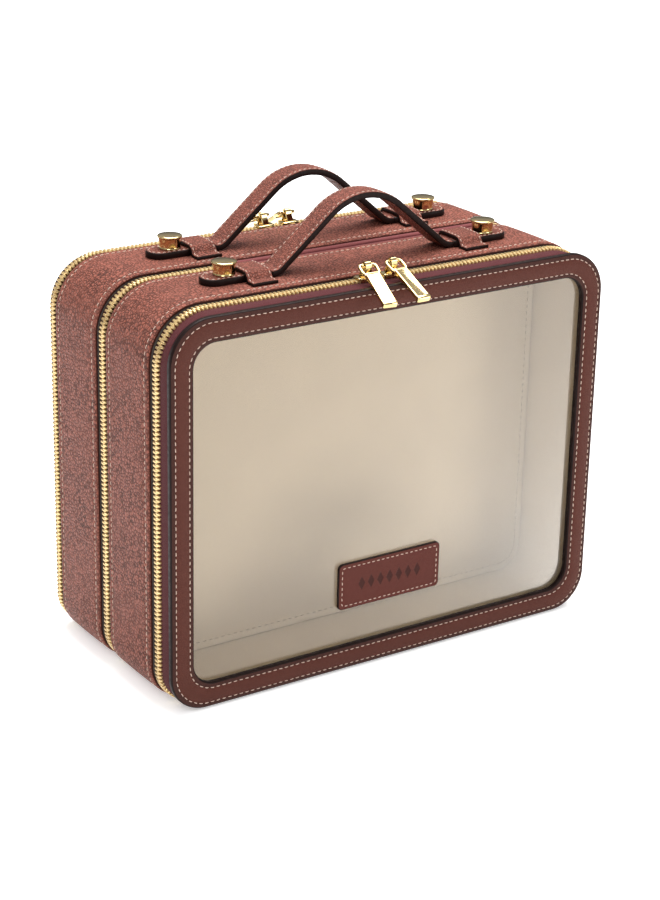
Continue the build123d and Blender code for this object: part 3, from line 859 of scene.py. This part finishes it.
def build_zips(prefix, side):
    case, door = f"{prefix}_case", f"{prefix}_door"
    section = [(58.4, 2.62), (57.9, 2.55), (56.2, 2.62), (55.2, 2.95), (53.8, 3.12), (51.6, 3.1)]
    # The case-side tape takes the darker tape copy: painted shade in the gap under the band's edge.
    tape = tape_strip(f"{prefix}_case_tape", side, section, -ZIP_END, ZIP_END, mat_tape_painted_shade)
    place(tape, case, "zip_tape", [f"{prefix}_zip_tape_case"])
    section = [(59.6, 2.62), (60.1, 2.5), (61.5, 2.5)]
    if prefix == "front":
        section += [(64.0, 2.25), (67.0, 2.1), (70.0, 2.25), (71.9, 2.7)]
    else:
        section += [(62.5, 2.55), (63.4, 2.9)]
    tape = tape_strip(f"{prefix}_door_tape", side, section, -ZIP_END, ZIP_END, mat_tape)
    place(tape, door, "zip_tape", [f"{prefix}_zip_tape_door"])
    for name, body, sign, start, node in (
        ("case_teeth", case, -1, 0.25, "zip_chain_case"),
        ("door_teeth", door, 1, 0.75, "zip_chain_door"),
    ):
        row = tooth_row(sign, ZIP_Y, -ZIP_END, ZIP_END, start, side)
        teeth = piece(f"{prefix}_{name}", *row, mat_teeth, flat=True)
        place(teeth, body, "zip_teeth", [f"{prefix}_{node}"])

    section = [(0.6, 2.62), (1.1, 2.5), (3.2, 2.55), (5.0, 2.75), (7.4, 2.9)]
    # The middle tape takes the darker tape copy: painted shade in the gap between the two bands.
    tape = hoop(
        f"{prefix}_middle_tape", side, section + [(y, d + 0.6) for y, d in reversed(section)], mat_tape_painted_shade
    )
    place(tape, case, "zip_tape", [f"{prefix}_middle_zip_tape"])
    first, last = SEAM_RIGHT + 1.0, CASE.length + SEAM_LEFT - 1.0
    start = 0.25 if side < 0 else 0.75
    row = tooth_row(side, 0.0, first, last, start)
    teeth = piece(f"{prefix}_middle_teeth", *row, mat_teeth, flat=True)
    place(teeth, case, "zip_teeth", [f"{prefix}_middle_zip_chain"])

    edge = [(0.9, 2.3), (1.3, 1.45)] if side < 0 else [(1.3, 2.3), (1.6, 1.45)]
    section = edge + [(2.4, 1.1), (4.2, 1.05), (5.6, 1.35), (6.6, 1.9)]
    cover = hoop(
        f"{prefix}_seam_cloth", side, section + [(y, d + 0.6) for y, d in reversed(section)], mat_seam,
        SEAM_LEFT, SEAM_RIGHT,
    )
    place(cover, case, "zip_tape")


def build_hinge_cloth(prefix, side):
    """Cloth along the bottom that the door folds on."""
    back = DOOR_SIZE[prefix][0] - DOOR_SIZE[prefix][1]
    y = np.concatenate([np.linspace(51.8, back - 4.0, 9), np.linspace(back - 3.6, back + 0.2, 12)])
    x = np.linspace(-HINGE_HALF_W, HINGE_HALF_W, 60)
    top = 3.55 + 0.12 * np.sin(y / 1.7)
    section = list(zip(y, top)) + list(zip(y[::-1], top[::-1] - 0.8))
    section = np.asarray(section)
    points = np.stack(
        [
            np.repeat(x, len(section)),
            side * np.tile(section[:, 0], len(x)),
            np.tile(section[:, 1], len(x)),
        ],
        -1,
    )
    faces = tube_faces(len(x), len(section), False, True, caps=True)
    uv = np.stack([points[:, 0], np.abs(points[:, 1])], -1)
    cloth = piece(f"{prefix}_hinge_cloth", points, faces, mat_tape, uv=uv)
    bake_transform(cloth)
    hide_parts(f"{prefix}_hinge_strip")


# =====================================================================================
# doors
# =====================================================================================
ROW_OUTER, ROW_INNER = 2.9, 11.4
FRAME_PROFILE = [  # distance in from the door's edge, and how far the skin stands from its face
    (0.0, -1.9), (0.15, -1.3), (0.6, -0.85), (1.3, -0.62), (2.1, -0.54), (2.5, -0.6),
    (ROW_OUTER, -0.72), (3.3, -0.58), (4.2, -0.2), (6.0, 0.05), (8.4, 0.05), (10.1, -0.2),
    (10.95, -0.56), (ROW_INNER, -0.7), (11.85, -0.58),
    (12.7, -0.6), (13.5, -0.8), (14.0, -1.2), (FRAME_BORDER, -1.8),
]


def door_outline(prefix, share):
    """The outline at a share of the way from a door's edge to its opening."""
    _, _, half_w, bottom, top, upper_r, lower_r = DOOR_SIZE[prefix]
    inset = FRAME_BORDER * share
    return Outline(
        half_w - inset,
        bottom + inset,
        top - inset,
        upper_r + (OPENING_R - upper_r) * share,
        lower_r + (OPENING_R - lower_r) * share,
    )


def build_door(prefix, side):
    body = f"{prefix}_door"
    face, thick, half_w, bottom, top, upper_r, lower_r = DOOR_SIZE[prefix]
    opening = door_outline(prefix, 1.0)
    profile = [(0.0, -thick)] + FRAME_PROFILE + [(FRAME_BORDER, -thick)]
    shares = [(d / FRAME_BORDER, face + up) for d, up in profile]
    grid = ring_between(door_outline(prefix, 0.0), opening, side, shares)
    rows, cols = grid.shape[:2]
    # Slot 2, the strips between each stitch row and the nearer edge, takes the darker copy of the frame
    # leather: painted shade where the frame slopes away.
    kinds = [1 if d < 0.6 or d >= 13.5 else 2 if d < ROW_OUTER or d >= ROW_INNER else 0 for d, _ in profile]
    skin = piece(
        f"{prefix}_door_frame_skin", grid.reshape(-1, 3), tube_faces(rows, cols, True, True, caps=False),
        [mat_frame, mat_edge, mat_frame_painted_shade_rim], list(np.tile(kinds, rows)),
    )
    place(skin, body, "frame_leather", [f"{prefix}_door_frame"])
    rows = []
    for inset in (ROW_OUTER, ROW_INNER):
        line = door_outline(prefix, inset / FRAME_BORDER)
        rows.append(stitches(on_face(line, side, face - 0.64, 0.0), 0, line.length, pitch=3.7, radius=0.26))
    place(piece(f"{prefix}_door_frame_stitching", *merge(*rows), mat_thread), body)

    m = WINDOW_MARGIN
    sheet = Outline(half_w - m, bottom + m, top - m, upper_r - m, lower_r - m)
    front, back = face - thick - 0.02, face - thick - WINDOW_T
    p, _ = sheet.at(sheet.walk(0, sheet.length)[:-1])
    centre = np.array([0.0, sheet.middle])
    shrink = [1 - (k / 14) ** 1.2 for k in range(14)]
    rows = []
    for y, scale in [(front, v) for v in reversed(shrink)] + [(back, v) for v in shrink]:
        q = centre + (p - centre) * scale
        bow = 0.22 * (1 - (q[:, 0] / 137) ** 2) * (1 - ((q[:, 1] - sheet.middle) / 110) ** 2)
        rows.append(np.stack([q[:, 0], side * (y - np.clip(bow, 0, 1)), q[:, 1]], -1))
    faces = tube_faces(len(rows), len(p), False, True, caps=True)
    pane = piece(f"{prefix}_window_sheet", np.concatenate(rows), faces, mat_window)
    place(pane, body, "window", [f"{prefix}_window"])

    lap = back - 0.1
    profile = [
        (0.0, lap), (0.0, lap - 0.8), (0.3, lap - 0.95), (0.9, lap - 0.95), (0.985, lap - 0.9),
        (1.0, lap - 0.5), (1.0, lap),
    ]
    grid = ring_between(sheet, opening, side, profile)
    rows, cols = grid.shape[:2]
    faces = tube_faces(rows, cols, True, True, caps=False)
    trim = piece(f"{prefix}_door_lining", grid.reshape(-1, 3), faces, mat_lining)
    place(trim, body, "lining", [f"{prefix}_door_backing"])


def build_badge():
    y = DOOR_SIZE["front"][0] - DOOR_SIZE["front"][1]
    layers = [
        (0.0, 0.0), (0.0, 1.35), (0.12, 1.6), (0.4, 1.78), (0.9, 1.84), (1.9, 1.8), (2.3, 1.74),
        (2.8, 1.8), (4.0, 1.8),
    ]
    outline = rounded_box(BADGE_W / 2, BADGE_H / 2, BADGE_R, steps=8)
    points, faces = slab(outline, layers, (0, -y, BADGE_Z), (1, 0, 0), (0, 0, 1), (0, -1, 0))
    count = len(outline(0))
    kinds = [1 if f // count < 3 else 0 for f in range(len(faces) - 2)] + [0, 0]
    plate = piece("front_badge_plate", points, faces, [mat_badge, mat_edge], kinds)
    place(plate, "front_door", "badge_leather", ["front_badge"])
    line = Outline(BADGE_W / 2 - 2.3, BADGE_Z - BADGE_H / 2 + 2.3, BADGE_Z + BADGE_H / 2 - 2.3, 1.6, 1.6)
    row = stitches(on_face(line, -1, y + 1.74, 0.0), 0, line.length, pitch=3.3, length=2.1, radius=0.25)
    place(piece("front_badge_stitching", *row, mat_thread), "front_door")


# =====================================================================================
# handles
# =====================================================================================
STRAP_SECTION = [
    (-7.75, -1.3), (-7.75, 1.2), (-7.55, 1.62), (-7.1, 1.82), (-6.5, 1.84), (-6.1, 1.74),
    (-5.6, 1.86), (-4.2, 2.05), (0.0, 2.2), (4.2, 2.05), (5.6, 1.86), (6.1, 1.74), (6.5, 1.84),
    (7.1, 1.82), (7.55, 1.62), (7.75, 1.2),
    (7.75, -1.3), (7.5, -1.7), (7.0, -1.88), (0.0, -1.95), (-7.0, -1.88), (-7.5, -1.7),
]
STRAP_EDGES = {0, 1, 13, 14, 15, 16, 20, 21}
STITCH_FROM_EDGE = 1.6


def arch_line(count=26):
    """Centre line of the arched strap and its upward normals, as (x, z) pairs."""
    half = radians(ARCH_LEG)
    base = CASE_H + STRAP_GAP + STRAP_T / 2
    foot = ARCH_SPAN - FOOT_FLAT - FOOT_R * tan(half / 2)
    peak = foot * tan(half)
    top_r = (peak - ARCH_RISE) / (1 / cos(half) - 1)
    pts = [(-ARCH_SPAN, base, 0.0)]
    for i in range(9):
        a = half * i / 8
        pts.append((-ARCH_SPAN + FOOT_FLAT + FOOT_R * sin(a), base + FOOT_R * (1 - cos(a)), a))
    centre_z = base + ARCH_RISE - top_r
    for i in range(5):
        t = (i + 1) / 6
        x0, z0 = pts[9][0], pts[9][1]
        x1, z1 = -top_r * sin(half), centre_z + top_r * cos(half)
        pts.append((x0 + (x1 - x0) * t, z0 + (z1 - z0) * t, half))
    for i in range(count + 1):
        a = half * (1 - 2 * i / count)
        pts.append((-top_r * sin(a), centre_z + top_r * cos(a), a))
    left = [p for p in pts if p[0] < -top_r * sin(half) - 1e-6]
    pts += [(-x, z, -a) for x, z, a in reversed(left)]
    return pts


def build_handle(prefix, side):
    body = f"{prefix}_case"
    line = arch_line()
    path = [(HANDLE_X + x, side * HANDLE_Y, z) for x, z, _ in line]
    normals = [(-sin(a), 0, cos(a)) for _, _, a in line]
    points, faces = strap(path, normals, (0, 1, 0), STRAP_SECTION)
    cols = len(STRAP_SECTION)
    kinds = [1 if i % cols in STRAP_EDGES else 0 for i in range(len(faces) - 2)] + [1, 1]
    arch = piece(f"{prefix}_handle_arch", points, faces, [mat_strap, mat_edge], kinds)
    place(arch, body, "strap_leather", [f"{prefix}_handle_strap"])
    rows = []
    for sign in (-1, 1):
        offset = sign * (STRAP_W / 2 - STITCH_FROM_EDGE)
        edge = np.asarray(path) + np.array([0, offset, 0]) + np.asarray(normals) * 1.76
        walk = on_path(edge, normals)
        rows.append(stitches(walk, 1.0, walk.length - 1.0, pitch=3.4, length=2.2, radius=0.25))
    sewn = piece(f"{prefix}_handle_arch_stitching", *merge(*rows), mat_thread)
    place(sewn, body)
    for soft in (arch, sewn):
        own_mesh(soft)
    for name, hand in (("left", -1), ("right", 1)):
        build_strap_end(prefix, side, name, hand)
        build_keeper(prefix, side, name, hand)
        build_post(prefix, side, name, hand)


def build_strap_end(prefix, side, name, hand):
    half = STRAP_W / 2
    tip = END_TIP - half

    def outline(inset):
        r = half - inset
        turn = np.linspace(-pi / 2, pi / 2, 13)
        arc = [(tip + r * cos(a), r * sin(a)) for a in turn]
        points = [(END_INNER + inset, -r)] + arc + [(END_INNER + inset, r)]
        return points if hand > 0 else [(-x, y) for x, y in reversed(points)]

    layers = [
        (0.3, 0.0), (0.0, 0.4), (0.0, 3.1), (0.2, 3.5), (0.6, 3.72), (1.2, 3.74), (1.6, 3.62),
        (2.1, 3.76), (3.2, 3.9),
    ]
    seat = (HANDLE_X, side * HANDLE_Y, CASE_H + STRAP_GAP)
    points, faces = slab(outline, layers, seat, (1, 0, 0), (0, 1, 0), (0, 0, 1))
    count = len(outline(0))
    kinds = [1 if f // count < 4 else 0 for f in range(len(faces) - 2)] + [1, 0]
    end = piece(f"{prefix}_strap_end_{name}", points, faces, [mat_strap, mat_edge], kinds)
    place(end, f"{prefix}_strap_end_{name}", "strap_leather", [f"{prefix}_handle_end_{name}"])
    line = []
    for i in range(25):
        a = -pi / 2 + pi * i / 24
        r = half - STITCH_FROM_EDGE
        x, y = HANDLE_X + hand * (tip + r * cos(a)), side * HANDLE_Y + r * sin(a)
        line.append((x, y, CASE_H + STRAP_GAP + 3.66))
    line = [(HANDLE_X + hand * (END_INNER + 2), side * HANDLE_Y - half + STITCH_FROM_EDGE, line[0][2])] + line
    line += [(HANDLE_X + hand * (END_INNER + 2), side * HANDLE_Y + half - STITCH_FROM_EDGE, line[0][2])]
    walk = on_path(line, [(0, 0, 1)] * len(line))
    row = stitches(walk, 0.5, walk.length - 0.5, pitch=3.2, length=2.1, radius=0.25)
    place(piece(f"{prefix}_strap_end_{name}_stitching", *row, mat_thread), f"{prefix}_strap_end_{name}")


def build_keeper(prefix, side, name, hand):
    body = f"{prefix}_case"
    y = np.linspace(-KEEPER_HALF, KEEPER_HALF, 61)
    ease = np.clip((np.abs(y) - 7.6) / 4.2, 0, 1)
    ease = ease * ease * (3 - 2 * ease)
    z = CASE_H + 1.02 + 4.5 * (1 - ease) + 0.25 * np.clip(1 - (y / 8) ** 2, 0, 1)
    slope = np.gradient(z, y)
    normals = np.stack([np.zeros_like(y), -slope, np.ones_like(y)], -1)
    normals /= np.linalg.norm(normals, axis=1, keepdims=True)
    x = HANDLE_X + hand * KEEPER_X
    path = np.stack([np.full_like(y, x), side * HANDLE_Y + y, z], -1)
    half = KEEPER_W / 2
    section = [
        (-half, -0.8), (-half, 0.55), (-half + 0.25, 0.85), (-half + 0.7, 0.98), (-half + 1.3, 0.9),
        (-half + 1.9, 1.0), (-half + 4, 1.08), (half - 4, 1.08), (half - 1.9, 1.0),
        (half - 1.3, 0.9), (half - 0.7, 0.98),
        (half - 0.25, 0.85), (half, 0.55), (half, -0.8), (half - 0.2, -0.98), (-half + 0.2, -0.98),
    ]
    points, faces = strap(path, normals, (1, 0, 0), section)
    cols = len(section)
    edges = {0, 1, 11, 12, 13, 15}
    kinds = [1 if i % cols in edges else 0 for i in range(len(faces) - 2)] + [1, 1]
    loop = piece(f"{prefix}_keeper_{name}_skin", points, faces, [mat_strap, mat_edge], kinds)
    place(loop, body, "strap_leather", [f"{prefix}_keeper_{name}"])
    rows = []
    for sign in (-1, 1):
        edge = path + normals * 0.92 + np.array([sign * (half - 1.3), 0, 0])
        walk = on_path(edge, normals)
        rows.append(stitches(walk, 0.8, walk.length - 0.8, pitch=3.1, length=2.0, radius=0.25))
    place(piece(f"{prefix}_keeper_{name}_stitching", *merge(*rows), mat_thread), body)


def build_post(prefix, side, name, hand):
    seat = CASE_H + STRAP_GAP + STRAP_T
    top = seat + 8.2
    profile = [
        (2.4, seat - 3.6), (2.4, seat + 0.05), (5.9, seat + 0.05), (6.15, seat + 0.3),
        (6.2, seat + 0.7), (6.0, seat + 0.95), (5.95, seat + 1.4), (6.1, seat + 3.6),
        (6.3, top - 2.2), (6.5, top - 1.8), (6.95, top - 1.5), (7.1, top - 1.1), (7.05, top - 0.75),
        (6.8, top - 0.5), (6.35, top - 0.36), (4.5, top - 0.14), (2.2, top - 0.04), (0.05, top),
    ]
    sides = 48
    turn = np.arange(sides) * 2 * pi / sides
    x, y = HANDLE_X + hand * POST_X, side * HANDLE_Y
    rows = [
        np.stack([x + r * np.cos(turn), y + r * np.sin(turn), np.full(sides, z)], -1)
        for r, z in profile
    ]
    faces = tube_faces(len(rows), sides, False, True, caps=True)
    stud = piece(f"{prefix}_post_{name}_turned", np.concatenate(rows), faces, mat_gold)
    crease(stud, 38)
    place(stud, f"{prefix}_strap_end_{name}", "gold_metal", [f"{prefix}_post_{name}"])


def crease(obj, degrees):
    """Keep edges sharper than this angle crisp."""
    obj.data.set_sharp_from_angle(angle=radians(degrees))


# =====================================================================================
# sliders and pulls
# =====================================================================================
def to_world(points, origin, x_dir, y_dir, z_dir):
    points = np.asarray(points, float)
    basis = np.stack([x_dir, y_dir, z_dir]).astype(float)
    return np.asarray(origin, float) + points @ basis


def slider_parts(bar_across, height, bar_shift):
    """A slider in its own axes: X along the zip, Y across it, Z out of the case."""
    axes = ((1, 0, 0), (0, 1, 0), (0, 0, 1))
    upper = -CHAIN_INSET + 0.4
    plate = slab(
        rounded_box(SLIDER_L / 2, SLIDER_W / 2, 2.4, steps=5, taper=0.12),
        [(0.4, 0), (0.0, 0.3), (0.0, 0.9), (0.25, 1.22), (0.7, 1.4), (1.6, 1.46)], (0, 0, upper), *axes,
    )
    lower = slab(
        rounded_box(SLIDER_L / 2, 2.5, 1.8, steps=4), [(0.3, -1.2), (0.0, -0.9), (0.0, -0.2), (0.2, 0)],
        (0, 0, -4.1), *axes,
    )
    neck = slab(rounded_box(2.6, 0.5, 0.35, steps=3), [(0, -4.2), (0, upper + 0.1)], (0, 0, 0), *axes)
    flanges = [
        slab(
            rounded_box(SLIDER_L / 2 - 0.9, 0.45, 0.4, steps=3),
            [(0.1, upper - 0.9), (0, upper - 0.7), (0, upper + 0.3)],
            (0, sign * (SLIDER_W / 2 - 0.55), 0), *axes,
        )
        for sign in (-1, 1)
    ]
    r = 1.5 if bar_across else 1.75
    plate_top = upper + 1.3
    a = np.linspace(0, pi, 13)
    reach = min(1, height / 5)
    arch = [(bar_shift + r + 0.6, plate_top - 0.2), (bar_shift + r + 0.2, plate_top + 0.8)]
    arch += [(bar_shift + r * cos(t), height + r * sin(t)) for t in a]
    arch += [(bar_shift - r - 0.7, height * 0.62), (bar_shift - r - 2.8 * reach, plate_top - 0.2)]
    half_w, half_t = 2.0, 0.42
    corner = 0.18
    section = [
        (-half_w, -half_t + corner), (-half_w, half_t - corner),
        (-half_w + corner, half_t), (half_w - corner, half_t),
        (half_w, half_t - corner), (half_w, -half_t + corner),
        (half_w - corner, -half_t), (-half_w + corner, -half_t),
    ]
    arch = np.asarray(arch)
    heading = np.gradient(arch, axis=0)
    heading /= np.linalg.norm(heading, axis=1, keepdims=True)
    normal = np.stack([heading[:, 1], -heading[:, 0]], -1)
    if bar_across:
        path = np.stack([arch[:, 0], np.zeros(len(arch)), arch[:, 1]], -1)
        n = np.stack([normal[:, 0], np.zeros(len(arch)), normal[:, 1]], -1)
        width = (0, 1, 0)
    else:
        path = np.stack([np.zeros(len(arch)), arch[:, 0], arch[:, 1]], -1)
        n = np.stack([np.zeros(len(arch)), normal[:, 0], normal[:, 1]], -1)
        width = (1, 0, 0)
    bridge = strap(path, n, width, section)
    return merge(plate, lower, neck, *flanges, bridge)


def pull_parts():
    """A pull in its own axes: Y along it from the crossbar, Z out of its upper face."""
    axes = ((1, 0, 0), (0, 1, 0), (0, 0, 1))
    ring = []
    corners = [(-3.2, 8.6), (-4.6, 7.2), (-5.0, 5.8), (-5.0, 2.4)]
    ring += corners
    ring += [(-3.0 - 2.0 * cos(t), 2.0 - 2.0 * sin(t)) for t in np.linspace(0.1, pi / 2, 7)]
    ring += [(-x, y) for x, y in reversed(ring)]
    bail = round_bar([(x, y, 0) for x, y in ring], 1.05, sides=12)
    start, end = 7.0, PULL_L
    bar_outline = rounded_box(PULL_W / 2, (end - start) / 2, 1.1, steps=5, y0=(end + start) / 2)
    t = PULL_T / 2
    bar = slab(
        bar_outline,
        [
            (0.9, -t + 0.25), (0.65, -t), (0.3, -t + 0.08), (0.0, -t + 0.4), (0.0, t - 0.4),
            (0.12, t - 0.12), (0.35, t), (0.8, t), (1.0, t - 0.1), (1.2, t - 0.38), (1.5, t - 0.45),
        ],
        (0, 0, 0), *axes,
    )
    lip_outline = rounded_box(PULL_W / 2 + 0.25, 1.5, 1.1, steps=5, y0=end - 1.3)
    t += 0.35
    lip = slab(
        lip_outline,
        [(0.8, -t), (0.3, -t + 0.15), (0.0, -t + 0.5), (0.0, t - 0.5), (0.3, t - 0.15), (0.8, t)],
        (0, 0, 0), *axes,
    )
    return merge(bail, bar, lip)


def build_slider_set(prefix, side, name):
    x = SLIDER_X[prefix][name]
    height = PULL_HEIGHT[prefix]
    sets = slider_parts(False, height, PULL_OFFSET)
    y_dir = (0, side, 0)
    x_dir = np.cross(y_dir, (0, 0, 1))
    points = to_world(sets[0], (x, side * ZIP_Y, CASE_H), x_dir, y_dir, (0, 0, 1))
    body = piece(f"{prefix}_slider_{name}_cast", points, sets[1], mat_gold)
    crease(body, 32)
    place(body, f"{prefix}_zip_slider_{name}", "gold_metal", [f"{prefix}_slider_{name}"])
    yaw, droop = radians(PULL_YAW[name]), radians(PULL_DROOP[prefix])
    forward = np.array([sin(yaw) * cos(droop), side * cos(yaw) * cos(droop), -sin(droop)])
    across = np.array([side * cos(yaw), -sin(yaw), 0])
    up = np.cross(across, forward)
    sets = pull_parts()
    origin = (x, side * (ZIP_Y + PULL_OFFSET), CASE_H + height)
    points = to_world(sets[0], origin, across, forward, up)
    tab = piece(f"{prefix}_pull_{name}_cast", points, sets[1], mat_gold)
    crease(tab, 32)
    place(tab, f"{prefix}_zip_pull_{name}", "gold_metal", [f"{prefix}_pull_{name}"])


def build_middle_slider():
    sets = slider_parts(True, MIDDLE_BAR_X - CASE_W / 2, 0.0)
    points = to_world(sets[0], (CASE_W / 2, 0, MIDDLE_Z), (0, 0, -1), (0, 1, 0), (1, 0, 0))
    body = piece("middle_slider_cast", points, sets[1], mat_gold)
    crease(body, 32)
    place(body, "middle_zip_slider", "gold_metal", ["middle_slider"])
    sets = pull_parts()
    points = to_world(sets[0], (MIDDLE_BAR_X, 0, MIDDLE_Z), (0, -1, 0), (0, 0, -1), (1, 0, 0))
    tab = piece("middle_pull_cast", points, sets[1], mat_gold)
    crease(tab, 32)
    place(tab, "middle_zip_pull", "gold_metal", ["middle_pull"])


# =====================================================================================
# build
# =====================================================================================
for prefix, side in (("front", -1), ("rear", 1)):
    build_band(prefix, side)
    build_back_wall(prefix, side)
    build_zips(prefix, side)
    build_hinge_cloth(prefix, side)
    build_door(prefix, side)
    build_handle(prefix, side)
    for hand in ("left", "right"):
        build_slider_set(prefix, side, hand)
build_badge()
build_middle_slider()


# =====================================================================================
# floor and light
# =====================================================================================
def build_stage():
    m = Nodes("studio_floor")
    grain = m.add("TexNoise", Vector=m.place(), Scale=0.01, Detail=2.0)
    m.surface(
        Base_Color=m.mix(grain.outputs["Fac"], (0.86, 0.86, 0.86, 1), (0.9, 0.9, 0.9, 1)),
        Roughness=0.85,
        Specular_IOR_Level=0.15,
        Emission_Color=(1, 1, 1, 1),
        Emission_Strength=0.42,
    )
    size = 6000.0
    floor = piece("studio_floor", [(-size, -size, 0), (size, -size, 0), (size, size, 0), (-size, size, 0)],
                  [(0, 1, 2, 3)], m.material)


def soft_light(name, place_m, aim_m, size, watts, colour=(1, 1, 1)):
    data = bpy.data.lights.new(name, "AREA")
    data.shape, data.size, data.size_y, data.energy, data.color = "RECTANGLE", size[0], size[1], watts, colour
    lamp = bpy.data.objects.new(name, data)
    lamp.location = place_m
    aim = Vector(aim_m) - Vector(place_m)
    lamp.rotation_mode = "QUATERNION"
    lamp.rotation_quaternion = aim.to_track_quat("-Z", "Y")
    bpy.context.scene.collection.objects.link(lamp)


def build_world():
    world = bpy.data.worlds.new("studio")
    bpy.context.scene.world = world
    world.use_nodes = True
    nodes, links = world.node_tree.nodes, world.node_tree.links
    back = nodes["Background"]
    coords = nodes.new("ShaderNodeTexCoord")
    split = nodes.new("ShaderNodeSeparateXYZ")
    ramp = nodes.new("ShaderNodeValToRGB")
    links.new(coords.outputs["Generated"], split.inputs[0])
    links.new(split.outputs["Z"], ramp.inputs[0])
    stops = [(0.0, 0.2), (0.12, 0.12), (0.35, 0.4), (0.7, 0.6)]
    while len(ramp.color_ramp.elements) < len(stops):
        ramp.color_ramp.elements.new(0.5)
    for element, (at, value) in zip(ramp.color_ramp.elements, stops):
        element.position, element.color = at, (value, value, value, 1)
    seen = nodes.new("ShaderNodeLightPath")
    pale = nodes.new("ShaderNodeMix")
    pale.data_type = "RGBA"
    links.new(seen.outputs["Is Camera Ray"], pale.inputs[0])
    links.new(ramp.outputs[0], pale.inputs[6])
    pale.inputs[7].default_value = (1, 1, 1, 1)
    links.new(pale.outputs[2], back.inputs["Color"])
    back.inputs["Strength"].default_value = 1.0


build_stage()
build_world()
soft_light("key", (-1.2, -1.2, 1.8), (0, 0, 0.1), (1.0, 1.0), 20)
soft_light("top", (0.3, 0.4, 1.9), (0, 0, 0.1), (1.4, 1.4), 62)
soft_light("fill", (1.2, -1.9, 0.6), (0, 0, 0.12), (1.0, 0.8), 13)
bpy.context.scene.view_settings.view_transform = "Standard"
